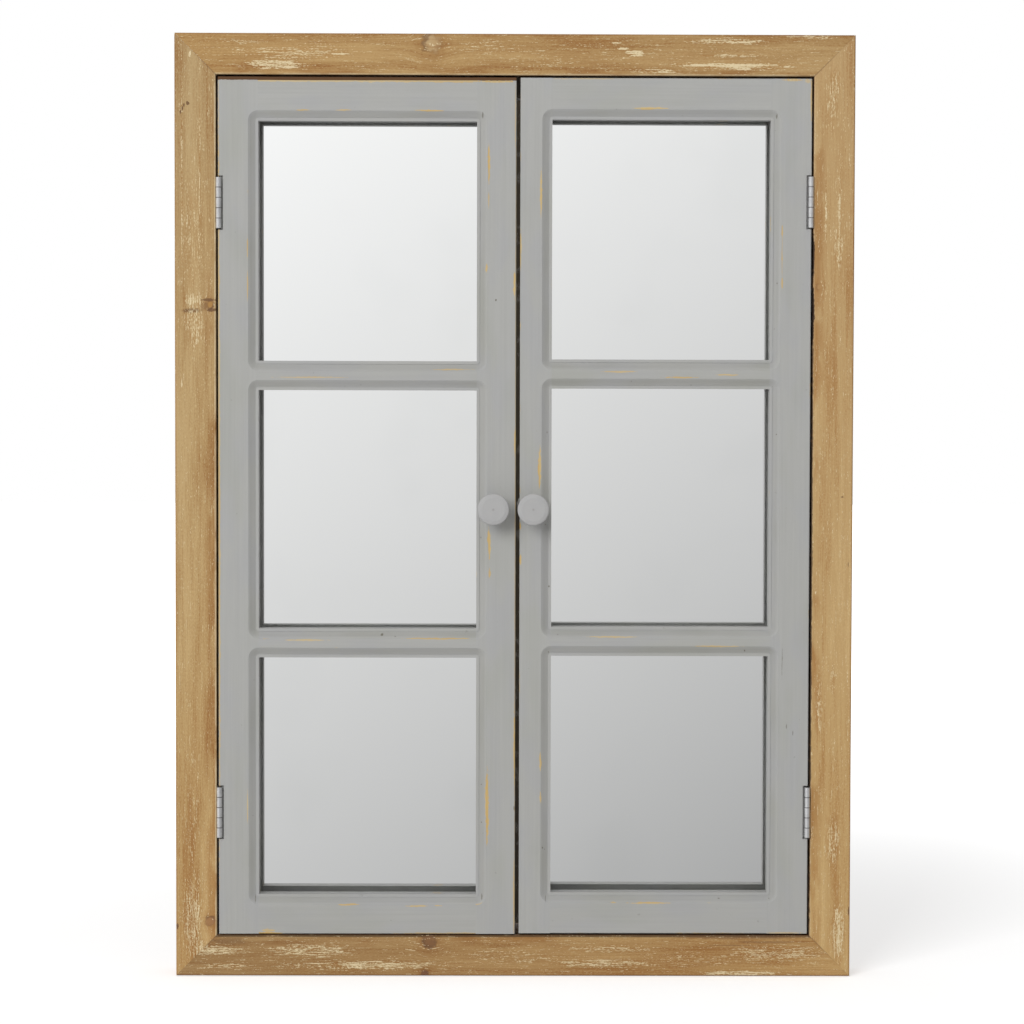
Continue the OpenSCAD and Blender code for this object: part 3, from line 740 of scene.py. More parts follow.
@dataclass(frozen=True)
class DoorPaint(Finish):
    """Grey chalk paint over pine, rubbed through to ochre on the edges."""

    lattice: Lattice | None = None
    run: Run = Run.UPRIGHT
    seed: float = 0.0
    seed_steps: Triple = (0.531, 0.317, 0.113)
    ring_width: float = 8.0 * MM
    moulding: float = 7.5 * MM
    lip: float = 2.2 * MM
    rim_rub: Spot = (0.6 * MM, 0.27)
    ledge_rub: Spot = (0.6 * MM, 0.15)
    light_rub: Spot = (0.5 * MM, 0.13)
    ledge_shift: Triple = (0.37, 0.11, 0.05)
    light_shift: Triple = (0.71, 0.23, 0.15)
    rubs: Patches = ()
    chips: Patches = ()
    # Above this height the door's face is bare planed wood, drawn dark as painted shade.
    planed_shade_above: float = 1.0
    grey: Colour = (0.404, 0.404, 0.388)
    cool: Colour = (0.394, 0.395, 0.391)
    mossy: Colour = (0.372, 0.376, 0.340)
    ochre: Colour = (0.600, 0.390, 0.110)
    straw: Colour = (0.620, 0.470, 0.220)
    # Dark umber of the planed bare wood, darkened with painted shade.
    umber: Colour = (0.104, 0.048, 0.018)
    # Colour of dirt, pits and chips, and of the painted shade in the moulding's hollows.
    grime_and_shade: Colour = (0.150, 0.140, 0.110)

    def draw(self, w: Wiring, place: Value) -> Inputs:
        """Draws the finish and returns what the shader's inputs get."""
        door = self.lattice
        board = along_board(w, place, self.run)
        seeded = w.shift(board, tuple(self.seed * step for step in self.seed_steps))
        stroke = w.noise(seeded, (9, 620, 620), 3.0, 0.6)
        cloud = w.noise(seeded, (14, 38, 38), 2.0, 0.5)
        tint = w.noise(seeded, (22, 60, 60), 2.0, 0.5)
        grain = BoardGrain.place(w, seeded, self.ring_width)

        light = LightEdge.place(w, place, door.middle_x, door.first_z, door.pitch, door.half_width,
                                door.half_height)["Distance"]
        rim = RimEdge.place(w, place, door.rim_middle, door.rim_half)["Distance"]
        arris = light - self.moulding

        colour = w.mix(w.remap(tint, 0.42, 0.66), self.grey, self.cool)
        colour = w.mix(w.remap(cloud, 0.48, 0.75, 0.0, 0.55), colour, self.mossy)
        tone = w.remap(stroke, 0.3, 0.7, 0.970, 1.025, smooth=False)
        colour = w.tint(colour, w.join(tone, tone, tone))

        hollow = w.remap(light, self.lip, self.lip + 1.2 * MM)
        hollow = hollow * w.remap(light, self.moulding - 2.5 * MM, self.moulding, 1.0, 0.0)
        # Painted shade and dirt: the moulding's hollow is darkened, patchily.
        hollow_shade_and_dirt = hollow * w.remap(cloud, 0.3, 0.7, 0.5, 1.0) * 0.2
        colour = w.mix(hollow_shade_and_dirt, colour, self.grime_and_shade)
        speck = w.noise(place, (260, 260, 260), 2.0, 0.5)
        pit = w.remap(speck, 0.735, 0.765) * w.remap(hollow, 0.0, 1.0, 0.25, 0.9)
        colour = w.mix(pit, colour, self.grime_and_shade)

        outer = EdgeRub.place(w, seeded, rim, *self.rim_rub)["Mask"]
        ledge = EdgeRub.place(w, w.shift(seeded, self.ledge_shift), arris, *self.ledge_rub)["Mask"]
        thin = EdgeRub.place(w, w.shift(seeded, self.light_shift), light, *self.light_rub)["Mask"]
        bare = w.math("MAXIMUM", outer * 0.8, w.math("MAXIMUM", ledge, thin * 0.7))
        for rub in self.rubs:
            bare = w.math("MAXIMUM", bare, rub.mask(w, board, RubStroke))
        for chip in self.chips:
            colour = w.mix(chip.mask(w, board, RubStroke), colour, self.grime_and_shade)
        timber = w.mix(w.remap(grain["Streak"], 0.40, 0.62), self.ochre, self.straw)
        colour = w.mix(bare * 0.85, colour, timber)
        _, _, z = w.split(place)
        # Painted shade: the planed strip at the door's top is bare wood drawn in dark umber.
        uneven = (grain["Streak"] - 0.5) * (1.2 * MM)
        planed_shade = w.remap(z + uneven, self.planed_shade_above - 0.25 * MM, self.planed_shade_above + 0.25 * MM)
        colour = w.mix(planed_shade, colour, self.umber)

        height = stroke * 0.55 + grain["Hair"] * 0.4 + grain["Ring"] * 0.12 + bare * -0.5 + pit * -0.7
        return {"Base Color": colour, "Roughness": w.remap(bare, 0.0, 1.0, 0.56, 0.74),
                "Specular IOR Level": 0.4, "Normal": w.bump(height, 0.12 * MM, 0.7)}


@dataclass(frozen=True)
class KnobPaint(Finish):
    """The doors' grey, brushed round a turned knob, with a painted highlight on its rim and painted shade
    in its centre dimple.
    """

    axis_x: float = 0.0
    axis_z: float = 0.0
    rim_radius: float = 11.4 * MM
    grey: Colour = (0.408, 0.406, 0.405)
    # Used for handling blotches and for the painted highlight round the rim.
    pale: Colour = (0.560, 0.550, 0.520)
    dark: Colour = (0.270, 0.245, 0.235)

    def draw(self, w: Wiring, place: Value) -> Inputs:
        """Draws the finish and returns what the shader's inputs get."""
        x, y, z = w.split(place)
        radius = w.length(x - self.axis_x, z - self.axis_z)
        turning = w.noise(w.join(radius, y, 0.0), (900, 900, 0), 2.0, 0.5)
        marks = HandlingMarks.place(w, place, (40.0, 40.0, 40.0))
        colour = w.mix(marks["Blotch"] * 0.1, self.grey, self.pale)
        # Painted highlight: a pale ring round the rim, in patches.
        edge = w.remap(abs(radius - self.rim_radius), 0.0, 1.0 * MM, 1.0, 0.0)
        patchy = edge * w.remap(w.noise(place, (120, 120, 120), 2.0), 0.45, 0.7)
        colour = w.mix(patchy * 0.35, colour, self.pale)
        # Painted shade in the knob's centre dimple.
        dimple = w.remap(radius, 0.5 * MM, 1.2 * MM, 0.4, 0.0)
        colour = w.mix(dimple, colour, self.dark)
        height = turning * 0.6 + marks["Speck"] * -0.3
        return {"Base Color": colour,
                "Roughness": w.remap(marks["Blotch"], 0.0, 1.0, 0.48, 0.6),
                "Specular IOR Level": 0.4, "Normal": w.bump(height, 0.1 * MM, 0.6)}


@dataclass(frozen=True)
class MirrorSilver(Finish):
    """Silvered glass with a breath of haze on it."""

    silver: Colour = (0.930, 0.938, 0.934)
    haze: Colour = (0.860, 0.872, 0.868)

    def draw(self, w: Wiring, place: Value) -> Inputs:
        """Draws the finish and returns what the shader's inputs get."""
        marks = HandlingMarks.place(w, place, (30.0, 30.0, 30.0))
        film = w.noise(place, (9, 9, 9), 3.0, 0.5)
        ripple = w.noise(place, (11, 11, 11), 1.0, 0.4)
        return {"Base Color": w.mix(w.remap(film, 0.5, 0.75, 0.0, 0.35), self.silver, self.haze),
                "Metallic": 1.0, "Roughness": w.remap(marks["Blotch"], 0.6, 1.0, 0.0, 0.012),
                "Normal": w.bump(ripple, 0.02 * MM, 0.25)}


@dataclass(frozen=True)
class Hardboard(Finish):
    """Brown pressed fibreboard, smooth on one face."""

    brown: Colour = (0.205, 0.122, 0.063)
    pale: Colour = (0.262, 0.162, 0.086)

    def draw(self, w: Wiring, place: Value) -> Inputs:
        """Draws the finish and returns what the shader's inputs get."""
        fibre = w.noise(place, (420, 420, 420), 4.0, 0.7)
        wisp = w.noise(place, (300, 300, 340), 5.0, 0.75)
        colour = w.mix(w.remap(wisp, 0.35, 0.65), self.brown, self.pale)
        tone = w.remap(fibre, 0.3, 0.7, 0.76, 1.18)
        colour = w.tint(colour, w.join(tone, tone, tone))
        return {"Base Color": colour, "Roughness": w.remap(wisp, 0.3, 0.7, 0.6, 0.78),
                "Normal": w.bump(fibre, 0.15 * MM, 0.6)}


@dataclass(frozen=True)
class Barrel:
    """A hinge's barrel: its axis, its reach from it, its lower end and the pitch of its knuckles."""

    x: float
    y: float
    reach: float
    low: float
    pitch: float


@dataclass(frozen=True)
class Metal(Finish):
    """Plated or plain metal, dulled by handling."""

    bright: Colour = (0.760, 0.760, 0.765)
    dull: Colour = (0.600, 0.600, 0.605)
    rough: float = 0.44
    grain: Triple = (260.0, 260.0, 30.0)
    metallic: float = 1.0
    barrel: Barrel | None = None
    near_black: Colour = (0.060, 0.055, 0.050)

    def seams(self, w: Wiring, place: Value, barrel: Barrel) -> Value:
        """Draws the near-black lines in the seams between a hinge's knuckles.

        Args:
            w: The wiring to add nodes to.
            place: The place on the object.
            barrel: Where the knuckles lie.

        Returns:
            A mask, 1 in the seams.
        """
        x, y, z = w.split(place)
        far = w.length(x - barrel.x, y - barrel.y)
        near = w.remap(far, barrel.reach, barrel.reach + 0.3 * MM, 1.0, 0.0)
        turns = (z - barrel.low) / barrel.pitch
        off = abs(turns - w.math("ROUND", turns))
        return w.remap(off * barrel.pitch, 0.15 * MM, 0.55 * MM, 1.0, 0.0) * near

    def draw(self, w: Wiring, place: Value) -> Inputs:
        """Draws the finish and returns what the shader's inputs get."""
        marks = HandlingMarks.place(w, place, self.grain)
        colour = w.mix(marks["Blotch"] * 0.5, self.bright, self.dull)
        colour = w.mix(marks["Speck"] * 0.5, colour, self.dull)
        if self.barrel is not None:
            colour = w.mix(self.seams(w, place, self.barrel) * 0.6, colour, self.near_black)
        return {"Base Color": colour, "Metallic": self.metallic,
                "Roughness": w.remap(marks["Scratch"], 0.0, 1.0, self.rough - 0.08, self.rough + 0.14),
                "Normal": w.bump(marks["Scratch"], 0.03 * MM, 0.5)}


def dress(finish: Finish, *nodes: str) -> None:
    """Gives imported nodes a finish.

    Args:
        finish: The finish, whose material is made once.
        *nodes: The nodes' names.
    """
    material = finish.material()
    for node in nodes:
        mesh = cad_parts[node].data
        mesh.materials.clear()
        mesh.materials.append(material)
        LOG.info("dressed %s in %s", node, material.name)


# ---- Sub-assemblies ----


@dataclass
class OuterFrame:
    """The mitred fir frame with its nails and hangers."""

    left_knots: Knots = (
        Knot(-90.2 * MM, -225.4 * MM, 2.9 * MM, 0.8, (-0.7, 0.7), (0.400, 0.215, 0.065)),
        Knot(-549 * MM, -226 * MM, 3.8 * MM, 0.6, (1.0, 0.0), (0.330, 0.165, 0.075)))
    top_knots: Knots = (
        Knot(-61.5 * MM, 103.0 * MM, 6.8 * MM, 0.6, (-0.95, 0.3), (0.500, 0.350, 0.180)),)
    bottom_knots: Knots = (
        Knot(-62.5 * MM, -564 * MM, 5.0 * MM, 0.9, (-0.8, -0.6), (0.170, 0.080, 0.042)),
        Knot(-66 * MM, -588 * MM, 2.6 * MM, 0.9, (0.0, -1.0), (0.170, 0.080, 0.042)))
    top_patches: Patches = patches(
        (-179, 87, 27, 4.2, 1.6), (-163, 95.5, 48, 5.5, 0.75), (-205, 104, 26, 1.8, 0.5),
        (-129, 94.7, 9, 0.8, 2.2), (-55, 102.5, 9, 5, 0.35), (-20, 99, 40, 5, 0.35),
        (89, 96.3, 8, 3, 1.9), (80, 99.6, 5, 1.4, 1.9), (74, 103.6, 5, 1, 1.7), (103, 83, 26, 2, 1),
        (157, 105.2, 36, 2.4, 1.5), (165, 86.5, 46, 3.2, 1), (160, 87.6, 52, 1.6, 2.2),
        (167, 85.2, 9, 1.8, 2), (160, 94.5, 30, 1.2, 1.1), (218, 108.6, 24, 1.2, 1.5),
        (60, 90, 90, 8, 0.2))
    left_patches: Patches = patches(
        (5, -246.1, 92, 0.8, 1), (0, -233, 90, 0.9, 0.9), (94.3, -239.8, 2.5, 0.9, 3),
        (-148.8, -246.3, 3.5, 0.6, 3), (-87, -238, 6, 8, 1.4), (-104, -237, 20, 8, 1),
        (-40, -238, 50, 9, 0.5), (-545, -239, 38, 8, 1), (-574, -233, 14, 8, 1.2),
        (-475, -240, 50, 7, 0.35))
    right_patches: Patches = patches(
        (73, 236, 14, 5, 1.1), (60, 234, 30, 6, 0.5), (-18, 230.3, 30, 0.8, 1.5),
        (-24, 240.3, 36, 1, 1.4), (-48, 240, 18, 4, 0.9), (-10, 241, 70, 4, 0.3),
        (-388, 228, 30, 2.4, 0.9), (-366, 237.4, 13, 2, 0.9), (-488, 238.5, 22, 6, 1.1),
        (-557, 243, 26, 6, 1.3))
    bottom_patches: Patches = patches(
        (-222, -571, 26, 4, 1.2), (-150, -571, 38, 6, 1.1), (-107, -582, 70, 4, 1.2),
        (-215, -583, 22, 3, 1), (70, -569.5, 40, 3, 0.9), (70, -580.5, 40, 4, 1.1),
        (0, -575, 60, 7, 0.35), (196, -573, 46, 7, 0.9), (173, -588, 38, 2, 1.5),
        (130, -578, 40, 6, 0.4))
    left_marks: Patches = patches(
        (-94.5, -238.4, 2, 8, 0.85), (-91.5, -229.6, 4, 3.6, 0.35))
    bottom_marks: Patches = patches(
        (-211, -564, 14, 3.4, 0.4), (170, -560.6, 60, 2.2, 0.5), (190, -564.5, 30, 1, 0.45),
        (160, -567, 20, 0.6, 0.4))
    left_cracks: Patches = patches(
        (51.8, -247, 1.9, 0.6, 0.9), (54.3, -245.7, 1.9, 0.6, 0.9), (56.8, -244.4, 1.9, 0.6, 0.9),
        (-553, -250.6, 3, 0.8, 0.9), (-86.6, -226.2, 1.3, 6.5, 0.8), (-94, -224.6, 1.5, 4.6, 0.85),
        (58.2, -241.9, 1.8, 1.3, 0.85))
    right_knots: Knots = (
        Knot(-75.5 * MM, 225.6 * MM, 2.4 * MM, 0.3, (-0.3, -1.0), (0.430, 0.250, 0.100)),)
    # Painted shade along the right stile's inner arris, where the gap beside the door looks wide and dark.
    right_shade_lines: Patches = patches(
        (-320, 221.3, 300, 0.6, 0.8), (-53, 221.2, 18, 1.15, 1), (-96, 221.2, 25, 1.05, 1))
    right_cracks: Patches = patches(
        (-541, 250.4, 4, 0.7, 0.8), (-231.4, 243.6, 0.6, 1.3, 0.8), (-282, 248.4, 2.2, 0.4, 0.8))

    def extent(self, node: str, run: Run) -> Extent:
        """Measures a frame member.

        Args:
            node: The member's node.
            run: The direction of its grain.

        Returns:
            Its ends and its two long edges.
        """
        low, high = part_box(node)
        whole_low, whole_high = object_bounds()
        if run is Run.UPRIGHT:
            left = low.x < (whole_low.x + whole_high.x) / 2 - (high.x - low.x)
            return Extent(low.z, high.z, *((low.x, high.x) if left else (high.x, low.x)))
        under = low.z < (whole_low.z + whole_high.z) / 2
        return Extent(low.x, high.x, *((low.z, high.z) if under else (high.z, low.z)))

    def finishes(self) -> dict[str, FirFinish]:
        """Returns the finish of each frame member by node name."""
        left, right = (self.extent(f"frame_stile_{side.value}", Run.UPRIGHT) for side in Side)
        top, bottom = (self.extent(f"frame_rail_{end}", Run.LEVEL) for end in ("top", "bottom"))
        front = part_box("frame_rail_top")[0].y
        return {
            "frame_stile_left": FirFinish(
                "fir left stile", Run.UPRIGHT, left, front, 1.3, (0.502, 0.322, 0.132),
                (0.412, 0.274, 0.125), 0.18, knots=self.left_knots, patches=self.left_patches,
                marks=self.left_marks, cracks=self.left_cracks),
            "frame_stile_right": FirFinish(
                "fir right stile", Run.UPRIGHT, right, front, 4.1, (0.538, 0.351, 0.147),
                (0.488, 0.324, 0.151), 0.05, contrast=0.6, scuffed=0.25, knots=self.right_knots,
                patches=self.right_patches, cracks=self.right_cracks, shade_lines=self.right_shade_lines),
            "frame_rail_top": FirFinish(
                "fir top rail", Run.LEVEL, top, front, 7.7, (0.418, 0.252, 0.096),
                (0.403, 0.249, 0.101), 0.14, scuffed=0.5, knots=self.top_knots,
                patches=self.top_patches),
            # The bottom rail has a painted shade line along its inner arris in place of the cream line.
            "frame_rail_bottom": FirFinish(
                "fir bottom rail", Run.LEVEL, bottom, front, 9.2, (0.322, 0.190, 0.076),
                (0.450, 0.272, 0.104), 0.18, scuffed=0.0, arris_shade=0.8, knots=self.bottom_knots,
                patches=self.bottom_patches, marks=self.bottom_marks),
        }

    def dress(self) -> None:
        """Gives the frame's nodes their finishes."""
        for node, finish in self.finishes().items():
            dress(finish, node)
        dress(Metal("nail steel", rough=0.42), "frame_corner_nails", "glazing_points")
        dress(Metal("hanger plate", (0.66, 0.64, 0.56), (0.44, 0.42, 0.36), 0.34),
              "hanger_plate_left", "hanger_plate_right", "hanger_screws")


@dataclass
class MirrorPack:
    """The mirror sheet and the board behind it."""

    def dress(self) -> None:
        """Gives the sheets their finishes."""
        dress(MirrorSilver("mirror silver"), "mirror_glass")
        dress(Hardboard("backing hardboard"), "backing_board")


@dataclass
class Catch:
    """The double magnetic catch under the top member."""

    def dress(self) -> None:
        """Gives the catch's nodes their finishes."""
        dress(Metal("catch housing", (0.150, 0.112, 0.078), (0.100, 0.075, 0.052), 0.5, metallic=0.0),
              "catch_housing")
        dress(Metal("ferrite", (0.05, 0.05, 0.052), (0.03, 0.03, 0.03), 0.6, metallic=0.0),
              "catch_magnets")
        dress(Metal("catch steel", (0.56, 0.56, 0.57), (0.40, 0.40, 0.41), 0.3), "catch_pole_plates",
              "catch_screws", "left_strike_plate", "right_strike_plate", "left_strike_screw",
              "right_strike_screw")


@dataclass
class Door:
    """One lattice door with its knob and hinges."""

    side: Side
    seed: float
    stile_rubs: Patches = ()
    rail_rubs: Patches = ()
    chips: Patches = ()
    # Depth of the planed strip at the door's top, which is drawn dark as painted shade.
    planed_shade: float = 0.0
    rail_seed: float = 2.4
    knuckles: int = 5
    knuckle_reach: float = 3.0 * MM
    lattice: Lattice = field(init=False)

    def __post_init__(self) -> None:
        """Reads where the door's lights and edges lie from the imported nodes."""
        hinge_low, hinge_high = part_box(self.part("hinge_stile"))
        meet_low, meet_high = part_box(self.part("meeting_stile"))
        left_x = min(hinge_high.x, meet_high.x)
        right_x = max(hinge_low.x, meet_low.x)
        low_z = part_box(self.part("bottom_rail"))[1].z
        bar_low, bar_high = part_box(self.part("lower_bar"))
        outer_low = min(hinge_low.x, meet_low.x)
        outer_high = max(hinge_high.x, meet_high.x)
        self.lattice = Lattice(
            middle_x=(left_x + right_x) / 2,
            first_z=(low_z + bar_low.z) / 2,
            pitch=bar_high.z - low_z,
            half_width=(right_x - left_x) / 2,
            half_height=(bar_low.z - low_z) / 2,
            rim_middle=((outer_low + outer_high) / 2, 0.0, (hinge_low.z + hinge_high.z) / 2),
            rim_half=((outer_high - outer_low) / 2, 0.0, (hinge_high.z - hinge_low.z) / 2),
        )

    def part(self, name: str) -> str:
        """Returns the name of one of this door's nodes."""
        return f"{self.side.value}_{name}"

    def cover(self, finish: Finish, *names: str) -> None:
        """Gives some of this door's nodes a finish."""
        dress(finish, *(self.part(name) for name in names))

    def dress(self) -> None:
        """Gives the door's nodes their finishes."""
        side = self.side.value
        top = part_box(self.part("hinge_stile"))[1].z
        planed_shade_above = top - self.planed_shade if self.planed_shade else top + 1.0
        self.cover(DoorPaint(f"paint {side} stiles", self.lattice, Run.UPRIGHT, self.seed,
                             rubs=self.stile_rubs, chips=self.chips, planed_shade_above=planed_shade_above),
                   "hinge_stile", "meeting_stile")
        self.cover(DoorPaint(f"paint {side} rails", self.lattice, Run.LEVEL, self.seed + self.rail_seed,
                             rubs=self.rail_rubs, planed_shade_above=planed_shade_above),
                   "top_rail", "bottom_rail", "upper_bar", "lower_bar")
        low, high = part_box(self.part("knob"))
        middle = (low + high) / 2
        self.cover(KnobPaint(f"paint {side} knob", middle.x, middle.z), "knob")
        for height in ("upper", "lower"):
            pin_low, pin_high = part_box(self.part(f"{height}_hinge_pin"))
            leaf_low, leaf_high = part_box(self.part(f"{height}_hinge_frame_leaf"))
            axis = (pin_low + pin_high) / 2
            pitch = (leaf_high.z - leaf_low.z) / self.knuckles
            barrel = Barrel(axis.x, axis.y, self.knuckle_reach, leaf_low.z, pitch)
            self.cover(Metal(f"zinc {side} {height} hinge", barrel=barrel),
                       *(f"{height}_hinge_{leaf}" for leaf in ("frame_leaf", "door_leaf", "pin")))
        self.cover(Metal(f"zinc {side} screws"), "door_leaf_screws", "knob_screw")


# ---- Studio ----


@dataclass
class Studio:
    """A pale floor, soft lamps, an even sky and the camera."""

    camera_x: float = 2.5 * MM
    camera_z: float = -147.0 * MM
    camera_distance: float = 2.3
    lens: float = 108.973
    sensor: float = 36.0
    clip: Spot = (0.05, 100.0)
    pitch_deg: float = -2.392
    yaw_deg: float = -0.532
    roll_deg: float = -0.160
    shift_px: float = 34.35
    image_px: int = 1024
    floor_half: float = 9.0
    floor_gap: float = 0.5 * MM
    floor_white: Colour = (0.86, 0.86, 0.86)
    glow_from: float = 0.35
    glow_to: float = 1.6
    glow_near: float = 0.462
    sky: float = 0.456
    white: Colour = (1.0, 1.0, 1.0)
    grade_middle: float = 0.772
    grade_side: float = -1.043
    grade_rise: float = 1.623
    grade_low: float = 0.43
    least_ahead: float = 0.25
    # A narrow dark brown band in the glossy sky that paints shade into the slit between the doors.
    slit_shade_from: float = 0.0009
    slit_shade_to: float = 0.0014
    slit_shade_level: float = 0.042
    slit_shade_brown: Colour = (1.0, 0.82, 0.62)
    key_watts: float = 249.0
    key_size: float = 3.2
    key_place: Triple = (-2.8, -5.6, 2.2)

    def camera(self) -> None:
        """Makes the camera at the photograph's viewing angle."""
        data = bpy.data.cameras.new("camera")
        data.sensor_width = self.sensor
        data.lens = self.lens
        data.shift_x = -self.shift_px / self.image_px
        data.clip_start, data.clip_end = self.clip
        camera = bpy.data.objects.new("camera", data)
        bpy.context.scene.collection.objects.link(camera)
        front_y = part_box("frame_stile_left")[0].y
        turn = (Matrix.Rotation(math.radians(self.yaw_deg), 4, "Z")
                @ Matrix.Rotation(math.radians(90.0 + self.pitch_deg), 4, "X")
                @ Matrix.Rotation(math.radians(-self.roll_deg), 4, "Z"))
        camera.matrix_world = Matrix.Translation(
            (self.camera_x, front_y - self.camera_distance, self.camera_z)) @ turn
        bpy.context.scene.camera = camera

    def floor(self) -> None:
        """Makes the pale floor, which glossy surfaces see as the sky."""
        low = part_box("frame_rail_bottom")[0].z
        middle = (0.0, 0.0, low - self.floor_gap)
        bpy.ops.mesh.primitive_plane_add(size=2 * self.floor_half, location=middle)
        plane = bpy.context.object
        plane.name = "floor"
        material = bpy.data.materials.new("floor")
        material.use_nodes = True
        w = Wiring(material.node_tree)
        material.node_tree.nodes.clear()
        rays = w.add("ShaderNodeLightPath").outputs
        camera, glossy = Value(w, rays["Is Camera Ray"]), Value(w, rays["Is Glossy Ray"])
        x, y, _ = w.split(w.make("ShaderNodeTexCoord", {}, "Object"))
        level = w.remap(w.length(x, y), self.glow_from, self.glow_to, self.glow_near, 1.0)
        chalk = w.make("ShaderNodeBsdfDiffuse", {"Color": self.floor_white})
        glow = w.make("ShaderNodeEmission", {"Strength": camera * level})
        both = w.make("ShaderNodeAddShader", {0: chalk, 1: glow})
        clear = w.make("ShaderNodeBsdfTransparent", {})
        choice = w.make("ShaderNodeMixShader", {0: glossy, 1: both, 2: clear})
        w.settle(w.add("ShaderNodeOutputMaterial"), {"Surface": choice})
        plane.data.materials.append(material)
        plane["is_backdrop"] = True

    def heaven(self) -> None:
        """Makes the world: white to the camera, graded to glossy rays with a narrow dark brown band of
        painted shade ahead of the mirror for the slit between the doors, and plain to the rest.
        """
        world = bpy.data.worlds.new("studio")
        bpy.context.scene.world = world
        world.use_nodes = True
        w = Wiring(world.node_tree)
        world.node_tree.nodes.clear()
        rays = w.add("ShaderNodeLightPath").outputs
        camera, glossy = Value(w, rays["Is Camera Ray"]), Value(w, rays["Is Glossy Ray"])
        x, y, z = w.split(w.make("ShaderNodeTexCoord", {}, "Generated"))
        ahead = w.math("MAXIMUM", abs(y), self.least_ahead)
        side = x / ahead
        rise = z / ahead
        grade = self.grade_middle + side * self.grade_side + rise * self.grade_rise
        grade = w.math("MAXIMUM", w.math("MINIMUM", grade, 1.0), self.grade_low)
        # Painted shade: a narrow upright band ahead of the mirror, dark brown and seen only by glossy
        # rays, darkens the mirror in the slit between the doors.
        clear = w.math("MAXIMUM", w.remap(abs(side), self.slit_shade_from, self.slit_shade_to),
                       w.math("GREATER_THAN", y, 0.0))
        level = grade * w.math("MAXIMUM", clear, self.slit_shade_level)
        others = 1.0 - w.math("MAXIMUM", camera, glossy)
        light = w.make("ShaderNodeBackground", {
            "Color": w.mix(glossy * (1.0 - clear), self.white, self.slit_shade_brown),
            "Strength": camera + glossy * level + others * self.sky})
        w.settle(w.add("ShaderNodeOutputWorld"), {"Surface": light})

    def lamp(self, name: str, watts: float, size: float, place: Triple, aim: Triple) -> None:
        """Makes one soft lamp that no glossy ray sees.

        Args:
            name: The lamp's name.
            watts: Its power.
            size: Its side.
            place: Where it stands.
            aim: The point that it faces.
        """
        data = bpy.data.lights.new(name, "AREA")
        data.energy = watts
        data.size = size
        lamp = bpy.data.objects.new(name, data)
        bpy.context.scene.collection.objects.link(lamp)
        direction = Vector(aim) - Vector(place)
        turn = direction.to_track_quat("-Z", "Y").to_matrix().to_4x4()
        lamp.matrix_world = Matrix.Translation(place) @ turn
        lamp.visible_glossy = False

    def build(self) -> None:
        """Makes the whole studio."""
        bpy.ops.object.select_all(action="DESELECT")
        self.floor()
        self.heaven()
        low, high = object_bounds()
        middle = tuple((low + high) / 2)
        self.lamp("key", self.key_watts, self.key_size, self.key_place, middle)
        self.camera()
        view = bpy.context.scene.view_settings
        view.view_transform = "Standard"


LEFT_STILE_RUBS = patches(
    (14.3, -19.3, 16.5, 0.9), (-12.3, -19.4, 7, 0.6, 0.6), (-62.5, -20.9, 3.6, 1, 0.9),
    (-75, -0.1, 11, 1.1), (47, 0.3, 26, 0.5, 0.6), (-266, -18.6, 13, 1.3), (-288.6, -18.3, 4, 0.9, 0.8),
    (-463, -19.8, 31, 1.4), (-48, -197.7, 10, 0.5, 0.8), (-76, -197.7, 13, 0.5, 0.8),
    (-463.3, -198.1, 14, 0.5, 0.8), (-190.5, 0.4, 12, 0.9), (-418, 0.5, 33, 0.9, 0.9),
    (76, -205, 0.5, 13, 0.8), (75.1, -14, 1.1, 16, 0.85), (-531, 0.4, 30, 0.8, 0.7),
    (-240, 0.8, 335, 0.5, 0.5), (-210, -219, 330, 0.95, 0.85))
LEFT_RAIL_RUBS = patches(
    (-151.5, -143.6, 30, 0.6, 0.7), (-46, -137.5, 17, 0.6, 0.7), (-155, -338.8, 19, 0.7, 0.8),
    (-57, -337.5, 28, 0.7, 0.8), (-123, -536.8, 9, 0.8, 0.9), (-188, -558.2, 22, 0.8),
    (-182.6, -556, 5, 1.3, 0.8), (-130, 75.3, 175, 1.2, 0.85), (-40, 74.8, 14, 1, 0.8),
    (-71.5, -537.6, 10, 0.7, 0.9), (-55.8, -537.2, 3, 0.7, 0.9), (-49, -558.2, 44, 0.7, 0.7),
    (-157, 53.5, 5.6, 0.6, 0.8), (-126.7, 53.5, 6.3, 0.6, 0.8), (-62.3, 53.5, 12.2, 0.7))
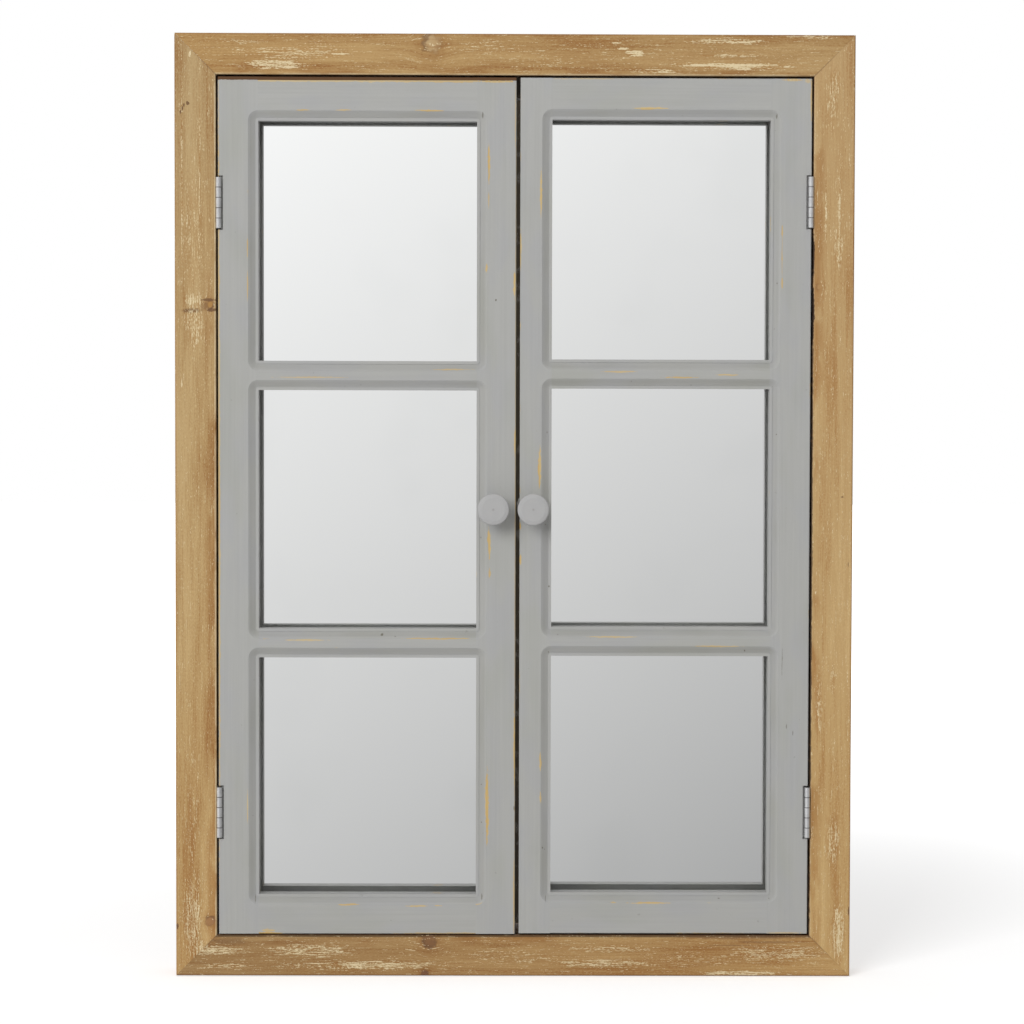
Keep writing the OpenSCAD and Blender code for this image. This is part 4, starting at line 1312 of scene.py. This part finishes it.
RIGHT_STILE_RUBS = patches(
    (-6.5, 19.3, 19, 0.9), (-49, 4.3, 16, 0.9, 0.9), (-34.5, 197.9, 5.5, 0.6, 0.8),
    (-53.5, 198, 4.8, 0.6, 0.7), (-72.8, 198, 4.8, 0.7, 0.8), (-53, 198, 24, 0.4, 0.4),
    (-210, 18.9, 17, 1.3), (-429.6, 19.9, 8, 0.9), (-456.5, 20, 5, 0.9), (-253.5, 4.5, 3.4, 0.8),
    (-278.5, 4.5, 4.5, 0.8), (-557.6, 203, 0.8, 15, 0.6), (76.9, 206, 1.2, 8, 0.8),
    (76.4, 216.5, 2, 2.2, 0.6), (62, 219, 17, 0.8, 0.9))
LEFT_CHIPS = patches(
    (50.5, -24, 3.2, 0.5, 0.8), (-532.5, -192.5, 3.6, 0.5, 0.6), (-531, -23.5, 3, 0.6, 0.6),
    (-86.1, -13.9, 0.9, 0.7, 0.9), (-464, 0.4, 2, 0.8, 0.8))
RIGHT_CHIPS = patches(
    (-532, 24, 3, 0.5, 0.5), (-298.5, 26, 0.9, 0.8, 0.9), (50, 193.5, 2.4, 0.6, 0.7),
    (-353.7, 199.7, 15, 0.3, 0.6), (-402.5, 203.2, 2.4, 0.5, 0.6), (-407.5, 208, 2, 0.5, 0.6))
RIGHT_RAIL_RUBS = patches(
    (100.4, 55.6, 14.5, 1), (78, -138.8, 15, 0.7, 0.8), (122.7, -142.9, 15, 0.7, 0.8),
    (158, -141, 9.5, 0.7, 0.8), (73, -336, 21, 0.7, 0.8), (151.6, -342.9, 21, 0.7, 0.8),
    (101, -535.2, 17.5, 0.9, 0.9), (74.7, -534.9, 2.6, 0.7, 0.7), (51.5, 77.2, 26, 0.5, 0.6))


def main() -> None:
    """Builds the looks of the mirror in order."""
    logging.basicConfig(level=logging.INFO, format="%(name)s: %(message)s")
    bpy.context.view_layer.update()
    OuterFrame().dress()
    MirrorPack().dress()
    Catch().dress()
    dress(Metal("zinc frame screws"), "frame_leaf_screws")
    Door(Side.LEFT, 2.2, LEFT_STILE_RUBS, LEFT_RAIL_RUBS, LEFT_CHIPS, 2.3 * MM).dress()
    Door(Side.RIGHT, 5.9, RIGHT_STILE_RUBS, RIGHT_RAIL_RUBS, RIGHT_CHIPS).dress()
    Studio().build()


if __name__ == "__main__":
    main()
